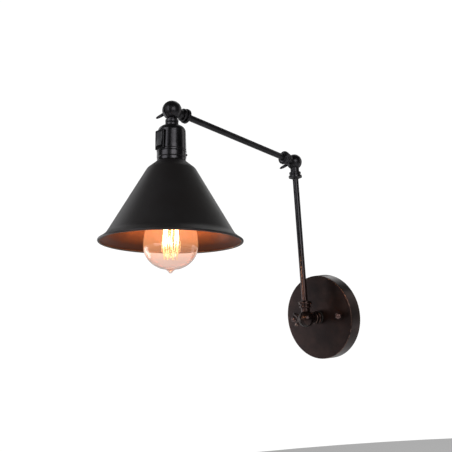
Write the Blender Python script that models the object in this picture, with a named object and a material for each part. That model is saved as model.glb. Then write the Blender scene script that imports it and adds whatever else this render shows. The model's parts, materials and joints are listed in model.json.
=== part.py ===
# Swing arm wall sconce. Metres, +Z up. The wall is the plane y = 0 and the room is on -Y.
# Three knuckles tightened by wing screws fold in the plane x = 0; the base also turns on the wall normal.
import math

import bpy
import numpy as np
from mathutils import Matrix, Vector

# Pose at rest, in degrees
LOWER_LEAN = 2.9  # lower arm from upright, towards the wall
UPPER_RISE = 13.8  # upper arm above level, away from the wall
SHADE_TILT = 7.6  # shade axis from plumb, mouth away from the wall

# Clearances
GAP = 0.0003  # between pieces that touch
KNUCKLE_CLEAR = 0.0005  # between a collar and the half ball that turns past it

# Wall plate
PLATE_RADIUS = 0.0570
PLATE_TAPER = 0.0006
PLATE_DEPTH = 0.0180
PLATE_WALL = 0.0012
PLATE_EDGE = 0.0011
KNOB_OFFSET = 0.0390
KNOB_RADIUS = 0.0048
STUD_RADIUS = 0.0019
STUD_FLANGE = 0.0036
STUD_FLANGE_THICK = 0.0016
STRAP_LENGTH = 0.0960
STRAP_WIDTH = 0.0200
STRAP_THICK = 0.0020
STRAP_SLOT_WIDTH = 0.0046
STRAP_SLOT_START = 0.0200
STRAP_SLOT_END = 0.0310
GROUND_OFFSET = 0.0100
GROUND_HEAD = 0.0038

# Arms
LOWER_LENGTH = 0.2146  # between knuckle centres
UPPER_LENGTH = 0.2188
ROD_RADIUS = 0.0040
ROD_WALL = 0.0012
ROD_GRIP = 0.0100  # rod length inside a collar

# Knuckles
BASE_BALL = 0.0110
ELBOW_BALL = 0.0106
LAMP_BALL = 0.0119
CAP_SPLIT = 0.56  # cap seam from the ball centre, in ball radii
SEAT_SPLIT = 0.86  # flat seat under the wing screw, in ball radii
WASHER_THICK = 0.0008
WASHER_INSET = 0.0010
NECK_RADIUS = 0.0061
RING_RADIUS = 0.0080
GROOVE_RADIUS = 0.0067
COLLAR_RADIUS = 0.0091
COLLAR_REACH = 0.0132  # from the ball surface to the collar's end
SCREW_RADIUS = 0.0020
NUT_FLATS = 0.0070
NUT_THICK = 0.0026
BOSS_RADIUS = 0.0034
BOSS_LENGTH = 0.0046
WING_SPAN = 0.0090
WING_REACH = 0.0132
WING_THICK = 0.0027
BASE_WING_TURN = 90.0  # wing angle about the pivot, from level
ELBOW_WING_TURN = -38.0
LAMP_WING_TURN = -35.0

# Wall nipple
NIPPLE_RADIUS = 0.0048
NIPPLE_WALL = 0.0014
NIPPLE_BACK = 0.0075  # length behind the plate's front wall
NIPPLE_GRIP = 0.0070  # length inside the stub
LOCKNUT_FLATS = 0.0150
LOCKNUT_THICK = 0.0030
STUB_WASHER_THICK = 0.0008
STUB_WASHER_RADIUS = 0.0086

# Socket, heights measured along the shade axis from the lamp knuckle's centre
LAMP_NECK_RING = 0.0080
LAMP_NECK_GROOVE = 0.0069
CUP_TOP = 0.0196
CUP_LENGTH = 0.0328
CUP_TAPER = 0.0010  # smaller in radius at the top
CUP_ROOM = 0.0010  # round the lamp holder
CUP_WALL = 0.0010
CUP_DOME = 0.0078
SPIGOT_RADIUS = 0.0050
SPIGOT_NUT_FLATS = 0.0130
SPIGOT_NUT_THICK = 0.0028
SLEEVE_LENGTH = 0.0110
SLEEVE_WALL = 0.0015
SLEEVE_TAPER = 0.0005
SET_SCREW_RADIUS = 0.0013
SET_SCREW_REACH = 0.0011
SET_SCREW_TURN = 135.0  # about the shade axis, from the room side

# Switch on the room side of the socket
FRAME_WIDTH = 0.0154
FRAME_HEIGHT = 0.0236
FRAME_PROUD = 0.0016
FRAME_DROP = 0.0085  # from the cup's top to the frame's top
ROCKER_WIDTH = 0.0094
ROCKER_HEIGHT = 0.0166
ROCKER_CLEAR = 0.0008
ROCKER_THROW = 6.0  # degrees either side of level
ROCKER_PIVOT_DEPTH = 0.0052
ROCKER_BODY = 0.0022

# Lamp holder inside
LAMP_CAP_RADIUS = 0.0131
SHELL_WALL = 0.0005
SHELL_CLEAR = 0.0004
SHELL_LENGTH = 0.0200
HOLDER_WALL = 0.0015
HOLDER_FLOOR = 0.0060
HOLDER_BELOW = 0.0098  # below the shade's top face
CONTACT_RADIUS = 0.0030
SHELL_RADIUS = LAMP_CAP_RADIUS + SHELL_CLEAR + SHELL_WALL
HOLDER_RADIUS = SHELL_RADIUS + GAP + HOLDER_WALL
CUP_LOW_RADIUS = HOLDER_RADIUS + CUP_ROOM + CUP_WALL
CUP_TOP_RADIUS = CUP_LOW_RADIUS - CUP_TAPER
SLEEVE_RADIUS = HOLDER_RADIUS + GAP + SLEEVE_WALL
SLEEVE_LOW_RADIUS = SLEEVE_RADIUS - SLEEVE_TAPER

# Shade
SHADE_SEAT = 0.0018  # flat top face round the lamp holder
SHADE_SHOULDER = 0.0088  # height of the steep shoulder
SHADE_SHOULDER_SPREAD = 0.0110  # growth of the radius down the shoulder
SHADE_CONE = 0.0796  # height of the straight cone
SHADE_RIM_RADIUS = 0.0852
SHADE_FLARE = 0.0062
SHADE_LIP = 0.0092  # growth of the radius along the flare
SHADE_WALL = 0.0010
SHADE_BEAD = 0.0015
SHADE_NECK_RADIUS = HOLDER_RADIUS + GAP + SHADE_SEAT
SHADE_SHOULDER_RADIUS = SHADE_NECK_RADIUS + SHADE_SHOULDER_SPREAD
SHADE_CONE_RADIUS = SHADE_RIM_RADIUS - SHADE_LIP
SHADE_RING_SPREAD = 0.0027
SHADE_RING_HEIGHT = 0.0056
SHADE_RING_RADIUS = SHADE_NECK_RADIUS + SHADE_RING_SPREAD

# Bulb
BULB_RADIUS = 0.0320
BULB_LENGTH = 0.1410
BULB_CAP_WALL = 0.0008
BULB_NECK_RADIUS = LAMP_CAP_RADIUS - BULB_CAP_WALL - GAP
BULB_GLASS = 0.0007
BULB_CAP_LENGTH = 0.0200
BULB_TIP_GAP = 0.0006
FILAMENT_RADIUS = 0.0005
FILAMENT_RING = 0.0085
FILAMENT_HEIGHT = 0.0380
FILAMENT_STRANDS = 6
LEAD_RADIUS = 0.0005
STEM_RADIUS = 0.0022

ROUND = 20
FINE = 42
COLLAR_SIDES = 18


def clear_scene():
    for item in list(bpy.data.objects):
        bpy.data.objects.remove(item, do_unlink=True)


def make_look(name, colour, roughness, metallic):
    look = bpy.data.materials.new(name)
    look.use_nodes = True
    shader = look.node_tree.nodes["Principled BSDF"]
    shader.inputs["Base Color"].default_value = (*colour, 1.0)
    shader.inputs["Roughness"].default_value = roughness
    shader.inputs["Metallic"].default_value = metallic
    look.diffuse_color = (*colour, 1.0)
    return look


def frame_along(axis, side):
    # Local Z runs along axis, local X as near to side as it can be.
    z = Vector(axis).normalized()
    x = Vector(side)
    if abs(z.dot(x.normalized())) > 0.999:
        x = Vector((0, 0, 1))
    x = (x - z * x.dot(z)).normalized()
    y = z.cross(x)
    return Matrix((x, y, z)).transposed().to_4x4()


def add_solid(name, points, faces, place, origin, look, smooth=True):
    world = np.array(place.to_3x3()) @ np.array(points, float).T
    world = world.T + np.array(place.translation)
    corners = [[world[i] for i in face] for face in faces]
    volume = 0.0
    for loop in corners:
        for second, third in zip(loop[1:], loop[2:]):
            volume += float(np.dot(loop[0], np.cross(second, third)))
    if volume < 0:
        faces = [tuple(reversed(face)) for face in faces]
    mesh = bpy.data.meshes.new(name)
    mesh.from_pydata((world - np.array(origin)).tolist(), [], faces)
    mesh.validate()
    if smooth:
        mesh.shade_smooth()
        mesh.set_sharp_from_angle(angle=math.radians(38))
    made = bpy.data.objects.new(name, mesh)
    made.location = origin
    made.data.materials.append(look)
    bpy.context.scene.collection.objects.link(made)
    return made


def revolve(profile, steps):
    # Profile of (radius, height) pairs. It ends on the axis at both ends, or closes on itself.
    points = []
    rings = []
    for radius, height in profile:
        if radius <= 0:
            rings.append([len(points)] * steps)
            points.append((0.0, 0.0, height))
            continue
        rings.append([len(points) + k for k in range(steps)])
        for k in range(steps):
            turn = 2 * math.pi * k / steps
            points.append((radius * math.cos(turn), radius * math.sin(turn), height))
    pairs = list(zip(rings, rings[1:]))
    if profile[0][0] > 0:
        pairs.append((rings[-1], rings[0]))
    faces = []
    for first, second in pairs:
        for k in range(steps):
            n = (k + 1) % steps
            loop = [first[k], first[n], second[n], second[k]]
            loop = [v for i, v in enumerate(loop) if v not in loop[:i]]
            if len(loop) > 2:
                faces.append(tuple(loop))
    return points, faces


def turned(name, profile, centre, axis, look, origin=None, steps=ROUND, side=(1, 0, 0)):
    points, faces = revolve(profile, steps)
    place = Matrix.Translation(centre) @ frame_along(axis, side)
    return add_solid(name, points, faces, place, centre if origin is None else origin, look)


def prism(name, outline, thick, place, look, origin=None, smooth=False):
    # Outline in local X and Y, extruded evenly either side of local Z = 0.
    count = len(outline)
    points = [(x, y, -thick / 2) for x, y in outline]
    points += [(x, y, thick / 2) for x, y in outline]
    faces = [tuple(range(count)), tuple(range(2 * count - 1, count - 1, -1))]
    for k in range(count):
        n = (k + 1) % count
        faces.append((k, k + count, n + count, n))
    home = place.translation if origin is None else origin
    return add_solid(name, points, faces, place, home, look, smooth)


def rounded_rectangle(width, height, radius, corner_steps=3):
    outline = []
    for quarter, (sx, sy) in enumerate(((1, 1), (-1, 1), (-1, -1), (1, -1))):
        for k in range(corner_steps + 1):
            turn = math.pi / 2 * (quarter + k / corner_steps)
            x = sx * (width / 2 - radius) + radius * math.cos(turn)
            y = sy * (height / 2 - radius) + radius * math.sin(turn)
            outline.append((x, y))
    return outline


def slot_outline(start, end, width, steps=6):
    outline = []
    for centre, first in ((end, -90), (start, 90)):
        for k in range(steps + 1):
            turn = math.radians(first + 180 * k / steps)
            outline.append((centre + width / 2 * math.cos(turn), width / 2 * math.sin(turn)))
    return outline


def hexagon(flats):
    corner = flats / math.sqrt(3)
    return [
        (corner * math.cos(math.pi / 3 * k), corner * math.sin(math.pi / 3 * k))
        for k in range(6)
    ]


def boolean(target, other, operation):
    other.hide_render = True
    other.display_type = "WIRE"
    step = target.modifiers.new(other.name, "BOOLEAN")
    step.operation = operation
    step.solver = "EXACT"
    step.object = other


def cut(target, other):
    boolean(target, other, "DIFFERENCE")


def join(target, other):
    boolean(target, other, "UNION")


def round_edges(target, width, segments=1):
    step = target.modifiers.new("Bevel", "BEVEL")
    step.width = width
    step.segments = segments
    step.limit_method = "ANGLE"
    step.angle_limit = math.radians(40)


def ball_arc(radius, start, end, count):
    # (radius, height) pairs on a ball between two heights.
    first = math.acos(max(-1.0, min(1.0, start / radius)))
    last = math.acos(max(-1.0, min(1.0, end / radius)))
    arc = []
    for k in range(count + 1):
        turn = first + (last - first) * k / count
        arc.append((radius * math.sin(turn), radius * math.cos(turn)))
    if abs(start) >= radius:
        arc[0] = (0.0, start)
    if abs(end) >= radius:
        arc[-1] = (0.0, end)
    return arc


def on_axis(arc):
    # Closes an arc of pairs on the axis at both ends.
    closed = list(arc)
    if closed[0][0] > 0:
        closed.insert(0, (0.0, closed[0][1]))
    if closed[-1][0] > 0:
        closed.append((0.0, closed[-1][1]))
    return closed


def cylinder(name, radius, start, end, centre, axis, steps=16):
    profile = [(0.0, start), (radius, start), (radius, end), (0.0, end)]
    return turned(name, profile, centre, axis, steel, steps=steps)


def collar_profile(ball, bore, grip):
    # Neck, ring, groove and collar, with a blind bore for the rod at the far end.
    end = ball + COLLAR_REACH
    ring = ball + 0.27 * COLLAR_REACH
    groove = ball + 0.50 * COLLAR_REACH
    wide = ball + 0.62 * COLLAR_REACH
    mouth = ball + 0.90 * COLLAR_REACH
    soft = 0.0007
    return [
        (0.0, 0.3 * ball),
        (NECK_RADIUS, 0.3 * ball),
        (NECK_RADIUS, ring),
        (RING_RADIUS - soft, ring + 0.0001),
        (RING_RADIUS, ring + soft),
        (RING_RADIUS, groove - soft),
        (RING_RADIUS - soft, groove - 0.0001),
        (GROOVE_RADIUS, groove),
        (GROOVE_RADIUS, wide),
        (COLLAR_RADIUS - soft, wide + 0.0001),
        (COLLAR_RADIUS, wide + soft),
        (COLLAR_RADIUS, mouth - soft),
        (COLLAR_RADIUS - soft, mouth - 0.0001),
        (GROOVE_RADIUS, mouth),
        (bore + 0.0010, end),
        (bore, end),
        (bore, end - grip - GAP),
        (0.0, end - grip - GAP),
    ]


def lamp_neck_profile(ball):
    # Two rings below the ball and a spigot that passes through the socket cup's roof.
    low = CUP_TOP - GAP
    middle = (ball + low) / 2 + 0.0001
    soft = 0.0006
    spigot = CUP_TOP + CUP_WALL + SPIGOT_NUT_THICK + 0.0012
    return [
        (0.0, 0.3 * ball),
        (NECK_RADIUS, 0.3 * ball),
        (NECK_RADIUS, ball - 0.0004),
        (LAMP_NECK_RING - soft, ball + 0.0002),
        (LAMP_NECK_RING, ball + 0.0002 + soft),
        (LAMP_NECK_RING, middle - 0.0004 - soft),
        (LAMP_NECK_RING - soft, middle - 0.0004),
        (LAMP_NECK_GROOVE, middle - 0.0003),
        (LAMP_NECK_GROOVE, middle + 0.0003),
        (LAMP_NECK_RING - soft, middle + 0.0004),
        (LAMP_NECK_RING, middle + 0.0004 + soft),
        (LAMP_NECK_RING, low - soft),
        (LAMP_NECK_RING - soft, low),
        (SPIGOT_RADIUS, low),
        (SPIGOT_RADIUS, spigot),
        (0.0, spigot),
    ]


def knuckle(part, centre, ball, near, far, wing_turn, look, shine):
    # near and far are (node name, direction, profile). The near half lies on +X, under the cap.
    # The far half lies on -X, under the wing screw, and turns about X.
    pivot = (1, 0, 0)
    face = WASHER_THICK / 2 + GAP
    split = CAP_SPLIT * ball
    bore = SCREW_RADIUS + GAP
    sweep = ball + KNUCKLE_CLEAR

    name, direction, profile = far
    far_half = turned(name, profile, centre, direction, look, steps=COLLAR_SIDES)
    dome = on_axis(ball_arc(ball, -SEAT_SPLIT * ball, 0.0010, 6))
    join(far_half, turned(f"form_{part}_far_dome", dome, centre, pivot, look))
    room = on_axis(ball_arc(sweep, -face, sweep, 7))
    cut(far_half, turned(f"cut_{part}_far_room", room, centre, pivot, look))
    cut(far_half, cylinder(f"cut_{part}_far_bore", bore, -2 * ball, 2 * ball, centre, pivot))

    name, direction, profile = near
    near_half = turned(name, profile, centre, direction, look, steps=COLLAR_SIDES)
    disc = on_axis(ball_arc(ball, -0.0010, split + 0.0004, 4))
    join(near_half, turned(f"form_{part}_near_disc", disc, centre, pivot, look))
    room = on_axis(ball_arc(sweep, -sweep, face, 7))
    cut(near_half, turned(f"cut_{part}_near_room", room, centre, pivot, look))
    crown = on_axis(ball_arc(sweep, split, sweep, 4))
    cut(near_half, turned(f"cut_{part}_near_crown", crown, centre, pivot, look))
    pocket = split - NUT_THICK - GAP
    pit = NUT_FLATS / math.sqrt(3) + GAP
    stepped = [
        (0.0, -2 * ball),
        (bore, -2 * ball),
        (bore, pocket),
        (pit, pocket),
        (pit, 2 * ball),
        (0.0, 2 * ball),
    ]
    hollow = turned(f"cut_{part}_near_bore", stepped, centre, pivot, look, steps=16)
    cut(near_half, hollow)

    washer = [
        (bore, -WASHER_THICK / 2),
        (ball - WASHER_INSET, -WASHER_THICK / 2),
        (ball - WASHER_INSET, WASHER_THICK / 2),
        (bore, WASHER_THICK / 2),
    ]
    turned(f"{part}_friction_washer", washer, centre, pivot, fibre)

    place = Matrix.Translation(centre) @ frame_along(pivot, (0, 0, 1))
    middle = place @ Matrix.Translation((0, 0, pocket + GAP + NUT_THICK / 2))
    nut = prism(f"{part}_nut", hexagon(NUT_FLATS), NUT_THICK, middle, steel, origin=centre)
    cut(nut, cylinder(f"cut_{part}_nut_bore", bore, -2 * ball, 2 * ball, centre, pivot, 12))

    tip = split + 0.0012
    hollow = tip + GAP
    inner = SCREW_RADIUS + 0.0010
    cap = ball_arc(ball, split + GAP, ball, 5)
    cap = [(0.0, hollow), (inner, hollow), (inner, split + GAP)] + cap
    turned(f"{part}_cap", cap, centre, pivot, look)

    seat = SEAT_SPLIT * ball + GAP
    shaft = [
        (0.0, tip),
        (SCREW_RADIUS - 0.0004, tip),
        (SCREW_RADIUS, tip - 0.0004),
        (SCREW_RADIUS, -seat),
        (BOSS_RADIUS, -seat),
        (BOSS_RADIUS, -seat - BOSS_LENGTH + 0.0006),
        (BOSS_RADIUS - 0.0006, -seat - BOSS_LENGTH),
        (0.0, -seat - BOSS_LENGTH),
    ]
    screw = turned(f"{part}_wing_screw", shaft, centre, pivot, shine, steps=16)
    turn = math.radians(wing_turn)
    across = Vector((0, -math.cos(turn), math.sin(turn)))
    flat = Vector((-1, 0, 0)).cross(across)
    place = Matrix.Translation(centre) @ frame_along(flat, across)
    out = Vector((-1, 0, 0)).dot(place.to_3x3() @ Vector((0, 1, 0)))
    half = [
        (0.24, 0.24),
        (0.50, 0.38),
        (0.82, 0.58),
        (1.00, 0.84),
        (0.94, 0.97),
        (0.74, 1.00),
        (0.46, 0.76),
        (0.22, 0.58),
    ]
    right = [(WING_SPAN * u, out * (seat + WING_REACH * a)) for u, a in half]
    left = [(-x, y) for x, y in reversed(right)]
    wing = prism(f"form_{part}_wing", right + left, WING_THICK, place, shine)
    round_edges(wing, 0.0004)
    join(screw, wing)


def make_looks():
    global bronze, graphite, bronze_shine, graphite_shine, steel, fibre
    bronze = make_look("oil_rubbed_bronze", (0.052, 0.034, 0.030), 0.38, 0.9)
    graphite = make_look("graphite_black", (0.020, 0.020, 0.022), 0.32, 0.8)
    bronze_shine = make_look("bronze_bright", (0.075, 0.045, 0.036), 0.28, 1.0)
    graphite_shine = make_look("graphite_bright", (0.028, 0.028, 0.030), 0.26, 0.9)
    steel = make_look("zinc_steel", (0.45, 0.46, 0.47), 0.35, 1.0)
    fibre = make_look("black_fibre", (0.015, 0.015, 0.015), 0.8, 0.0)


def make_wall_plate():
    wall = (0, 0, 0)
    out = (0, -1, 0)
    front = PLATE_RADIUS - PLATE_TAPER
    inner = PLATE_DEPTH - PLATE_WALL
    hole = NIPPLE_RADIUS + GAP
    profile = [
        (PLATE_RADIUS, 0.0),
        (PLATE_RADIUS, 0.0020),
        (front, PLATE_DEPTH - PLATE_EDGE),
        (front - 0.3 * PLATE_EDGE, PLATE_DEPTH - 0.3 * PLATE_EDGE),
        (front - PLATE_EDGE, PLATE_DEPTH),
        (hole, PLATE_DEPTH),
        (hole, inner),
        (front - PLATE_WALL - PLATE_EDGE, inner),
        (front - PLATE_WALL, inner - PLATE_EDGE),
        (PLATE_RADIUS - PLATE_WALL, 0.0020),
        (PLATE_RADIUS - PLATE_WALL, 0.0),
    ]
    half_step = math.pi / FINE
    side = (math.cos(half_step), 0, math.sin(half_step))
    plate = turned("wall_plate", profile, wall, out, bronze, steps=FINE, side=side)
    strap_place = Matrix.Translation((0, -STRAP_THICK / 2, 0)) @ frame_along((0, -1, 0), (1, 0, 0))
    outline = rounded_rectangle(STRAP_LENGTH, STRAP_WIDTH, 0.0040)
    strap = prism("mounting_strap", outline, STRAP_THICK, strap_place, steel, origin=wall)
    for side, sign in (("left", -1), ("right", 1)):
        spot = Vector((sign * KNOB_OFFSET, 0, 0))
        hole = STUD_RADIUS + GAP
        deep = PLATE_DEPTH + 0.0100
        cut(plate, cylinder(f"cut_plate_{side}", hole, -0.0050, deep, spot, out, 12))
        cut(strap, cylinder(f"cut_strap_{side}", hole, -0.0050, deep, spot, out, 12))
        slot = slot_outline(sign * STRAP_SLOT_START, sign * STRAP_SLOT_END, STRAP_SLOT_WIDTH)
        if sign < 0:
            slot = slot_outline(-STRAP_SLOT_END, -STRAP_SLOT_START, STRAP_SLOT_WIDTH)
        cut(strap, prism(f"cut_slot_{side}", slot, 0.0120, strap_place, steel))
        flange = STRAP_THICK + GAP
        tip = PLATE_DEPTH + 0.0040
        stud = [
            (0.0, 0.0003),
            (STUD_RADIUS, 0.0003),
            (STUD_RADIUS, flange),
            (STUD_FLANGE, flange),
            (STUD_FLANGE, flange + STUD_FLANGE_THICK),
            (STUD_RADIUS, flange + STUD_FLANGE_THICK),
            (STUD_RADIUS, tip),
            (0.0, tip),
        ]
        turned(f"plate_stud_{side}", stud, spot, out, steel, steps=12)
        start = PLATE_DEPTH + GAP
        middle = start + 0.92 * KNOB_RADIUS
        bore = STUD_RADIUS + GAP
        dome = [(r, middle + h) for r, h in ball_arc(KNOB_RADIUS, -0.92 * KNOB_RADIUS, KNOB_RADIUS, 8)]
        knob = [(0.0, tip + GAP), (bore, tip + GAP), (bore, start)]
        knob += [(0.62 * KNOB_RADIUS, start), (0.62 * KNOB_RADIUS, dome[1][1])] + dome[2:]
        turned(f"plate_knob_{side}", knob, spot, out, bronze_shine, steps=16)
    spot = Vector((GROUND_OFFSET, 0, 0))
    hole = STUD_RADIUS + GAP
    cut(strap, cylinder("cut_strap_ground", hole, -0.0050, 0.0200, spot, out, 12))
    top = STRAP_THICK + GAP
    screw = [
        (0.0, 0.0003),
        (STUD_RADIUS, 0.0003),
        (STUD_RADIUS, top),
        (GROUND_HEAD, top),
        (GROUND_HEAD, top + 0.0012),
        (0.7 * GROUND_HEAD, top + 0.0022),
        (0.0, top + 0.0024),
    ]
    ground = make_look("ground_green", (0.03, 0.22, 0.08), 0.45, 0.6)
    turned("ground_screw", screw, spot, out, ground, steps=12)


def make_wall_nipple(stand_off):
    out = (0, -1, 0)
    inner = NIPPLE_RADIUS - NIPPLE_WALL
    back = PLATE_DEPTH - PLATE_WALL - NIPPLE_BACK
    front = PLATE_DEPTH + STUB_WASHER_THICK + 2 * GAP + NIPPLE_GRIP
    tube = [(NIPPLE_RADIUS, back), (NIPPLE_RADIUS, front), (inner, front), (inner, back)]
    turned("base_nipple", tube, (0, 0, 0), out, steel, steps=20)
    hole = NIPPLE_RADIUS + GAP
    start = PLATE_DEPTH + GAP
    end = start + STUB_WASHER_THICK
    ring = [(hole, start), (STUB_WASHER_RADIUS, start), (STUB_WASHER_RADIUS, end), (hole, end)]
    turned("stub_washer", ring, (0, 0, 0), out, fibre, steps=ROUND)
    seat = PLATE_DEPTH - PLATE_WALL - GAP - LOCKNUT_THICK / 2
    place = Matrix.Translation((0, -seat, 0)) @ frame_along(out, (1, 0, 0))
    nut = prism("base_locknut", hexagon(LOCKNUT_FLATS), LOCKNUT_THICK, place, steel, (0, 0, 0))
    cut(nut, cylinder("cut_locknut_bore", hole, 0.0, 0.0400, (0, 0, 0), out, 20))


def make_rod(name, start, direction, length, first_ball, last_ball):
    begin = first_ball + COLLAR_REACH - ROD_GRIP
    end = length - (last_ball + COLLAR_REACH - ROD_GRIP)
    inner = ROD_RADIUS - ROD_WALL
    tube = [(ROD_RADIUS, begin), (ROD_RADIUS, end), (inner, end), (inner, begin)]
    return turned(name, tube, start, direction, graphite, origin=start)


def make_socket(lamp, down):
    room = Vector((0, -math.cos(math.radians(SHADE_TILT)), math.sin(math.radians(SHADE_TILT))))
    side = Vector((1, 0, 0))
    bottom = CUP_TOP + CUP_LENGTH
    hole = SPIGOT_RADIUS + GAP
    dome = []
    for k in range(6):
        turn = math.pi / 2 * k / 5
        radius = hole + 0.0030 + (CUP_TOP_RADIUS - hole - 0.0030) * math.sin(turn)
        dome.append((radius, CUP_TOP + CUP_DOME * (1 - math.cos(turn))))
    inside = []
    for k in range(4):
        turn = math.pi / 2 * (3 - k) / 3
        wide = CUP_TOP_RADIUS - CUP_WALL
        radius = hole + 0.0026 + (wide - hole - 0.0026) * math.sin(turn)
        inside.append((radius, CUP_TOP + CUP_WALL + (CUP_DOME - CUP_WALL) * (1 - math.cos(turn))))
    profile = [(hole, CUP_TOP)] + dome
    profile += [(CUP_LOW_RADIUS, bottom), (CUP_LOW_RADIUS - CUP_WALL, bottom)]
    profile += inside + [(hole, CUP_TOP + CUP_WALL)]
    cup = turned("socket_cup", profile, lamp, down, graphite, steps=28)

    seat = CUP_TOP + CUP_WALL + GAP + SPIGOT_NUT_THICK / 2
    place = Matrix.Translation(lamp + down * seat) @ frame_along(down, side)
    nut = prism("socket_nut", hexagon(SPIGOT_NUT_FLATS), SPIGOT_NUT_THICK, place, steel, lamp)
    cut(nut, cylinder("cut_socket_nut", hole, 0.0, 0.0500, lamp, down, 20))

    holder_in = SHELL_RADIUS + GAP
    sleeve_top = bottom + GAP
    sleeve_low = sleeve_top + SLEEVE_LENGTH
    sleeve_in = HOLDER_RADIUS + GAP
    ring = [
        (SLEEVE_RADIUS, sleeve_top),
        (SLEEVE_RADIUS, sleeve_top + 0.6 * SLEEVE_LENGTH),
        (SLEEVE_LOW_RADIUS, sleeve_low),
        (sleeve_in, sleeve_low),
        (sleeve_in, sleeve_top),
    ]
    sleeve = turned("socket_sleeve", ring, lamp, down, graphite, steps=32)
    turn = math.radians(SET_SCREW_TURN)
    aim = room * math.cos(turn) + side * math.sin(turn)
    spot = lamp + down * (sleeve_top + 0.28 * SLEEVE_LENGTH)
    hole = SET_SCREW_RADIUS + GAP
    cut(sleeve, cylinder("cut_set_screw", hole, 0.5 * sleeve_in, 0.0400, spot, aim, 10))
    head = SLEEVE_RADIUS + SET_SCREW_REACH
    pin = [(0.0, sleeve_in), (SET_SCREW_RADIUS, sleeve_in), (SET_SCREW_RADIUS, head - 0.0003)]
    pin += [(SET_SCREW_RADIUS - 0.0003, head), (0.0, head)]
    turned("sleeve_set_screw", pin, spot, aim, graphite_shine, origin=lamp, steps=12)

    shade_top = sleeve_low + GAP
    ceramic = make_look("black_phenolic", (0.012, 0.012, 0.012), 0.45, 0.0)
    holder_low = shade_top + HOLDER_BELOW
    floor = bottom - HOLDER_FLOOR - 0.0004
    holder = [
        (0.0, floor),
        (HOLDER_RADIUS, floor),
        (HOLDER_RADIUS, holder_low),
        (holder_in, holder_low),
        (holder_in, floor + HOLDER_FLOOR),
        (0.0, floor + HOLDER_FLOOR),
    ]
    turned("lamp_holder", holder, lamp, down, ceramic, steps=ROUND)
    brass = make_look("brass", (0.55, 0.38, 0.16), 0.3, 1.0)
    shell_top = holder_low - SHELL_LENGTH - 0.0006
    shell_in = SHELL_RADIUS - SHELL_WALL
    shell = [
        (SHELL_RADIUS, shell_top),
        (SHELL_RADIUS, shell_top + SHELL_LENGTH),
        (shell_in, shell_top + SHELL_LENGTH),
        (shell_in, shell_top),
    ]
    turned("holder_shell", shell, lamp, down, brass, steps=ROUND)
    bulb_tip = floor + HOLDER_FLOOR + 0.0042
    contact = [
        (0.0, floor + HOLDER_FLOOR + GAP),
        (CONTACT_RADIUS, floor + HOLDER_FLOOR + GAP),
        (CONTACT_RADIUS, floor + HOLDER_FLOOR + 0.0014),
        (0.5 * CONTACT_RADIUS, bulb_tip - BULB_TIP_GAP),
        (0.0, bulb_tip - BULB_TIP_GAP),
    ]
    turned("holder_contact", contact, lamp, down, brass, steps=12)
    make_switch(lamp, down, room, side, cup)
    return shade_top, bulb_tip, brass, ceramic


def make_switch(lamp, down, room, side, cup):
    top = CUP_TOP + FRAME_DROP
    middle = top + FRAME_HEIGHT / 2
    share = (middle - CUP_TOP) / CUP_LENGTH
    cup_here = CUP_TOP_RADIUS + (CUP_LOW_RADIUS - CUP_TOP_RADIUS) * share
    face = cup_here + FRAME_PROUD
    back = math.sqrt(cup_here**2 - (FRAME_WIDTH / 2) ** 2) - 0.0012
    depth = face - back
    centre = lamp + down * middle + room * (face - depth / 2)
    place = Matrix.Translation(centre) @ frame_along(room, side)
    outline = rounded_rectangle(FRAME_WIDTH, FRAME_HEIGHT, 0.0012, 2)
    frame = prism("switch_frame", outline, depth, place, graphite, origin=lamp)
    clear = GAP + (CUP_LOW_RADIUS - CUP_TOP_RADIUS) * 0.25
    body = [
        (0.0, CUP_TOP - 0.0100),
        (CUP_TOP_RADIUS + clear, CUP_TOP - 0.0100),
        (CUP_TOP_RADIUS + clear, CUP_TOP + CUP_DOME),
        (CUP_LOW_RADIUS + clear, CUP_TOP + CUP_LENGTH),
        (CUP_LOW_RADIUS + clear, CUP_TOP + CUP_LENGTH + 0.0100),
        (0.0, CUP_TOP + CUP_LENGTH + 0.0100),
    ]
    cut(frame, turned("cut_frame_back", body, lamp, down, graphite, steps=32))
    wide = ROCKER_WIDTH + 2 * GAP
    high = ROCKER_HEIGHT + 2 * ROCKER_CLEAR
    window = rounded_rectangle(wide, high, 0.0004, 2)
    deep = 0.0120
    place = Matrix.Translation(lamp + down * middle + room * (face - deep / 2 + 0.0030))
    place = place @ frame_along(room, side)
    cut(frame, prism("cut_frame_window", window, deep, place, graphite))
    cut(cup, prism("cut_cup_window", window, deep, place, graphite))
    pivot = lamp + down * middle + room * (face - ROCKER_PIVOT_DEPTH)
    throw = math.radians(ROCKER_THROW)
    crown = ROCKER_PIVOT_DEPTH + 0.0004
    end = crown + ROCKER_HEIGHT / 2 * math.tan(throw)
    half = ROCKER_HEIGHT / 2
    base = crown - ROCKER_BODY
    outline = [
        (-half, base),
        (-0.5 * half, base - 0.0012),
        (0.5 * half, base - 0.0012),
        (half, base),
        (half, end - 0.0004),
        (half - 0.0004, end),
        (0.5 * half, crown + 0.42 * (end - crown)),
        (0.0, crown),
        (-0.5 * half, crown + 0.42 * (end - crown)),
        (-half + 0.0004, end),
        (-half, end - 0.0004),
    ]
    lean = Matrix.Rotation(-throw, 4, side)
    # Local X runs down the socket, local Y out of it.
    place = Matrix.Translation(pivot) @ lean @ frame_along(Vector(down).cross(room), down)
    plastic = make_look("rocker_black", (0.018, 0.018, 0.020), 0.35, 0.0)
    prism("switch_rocker", outline, ROCKER_WIDTH, place, plastic, origin=pivot)


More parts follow.
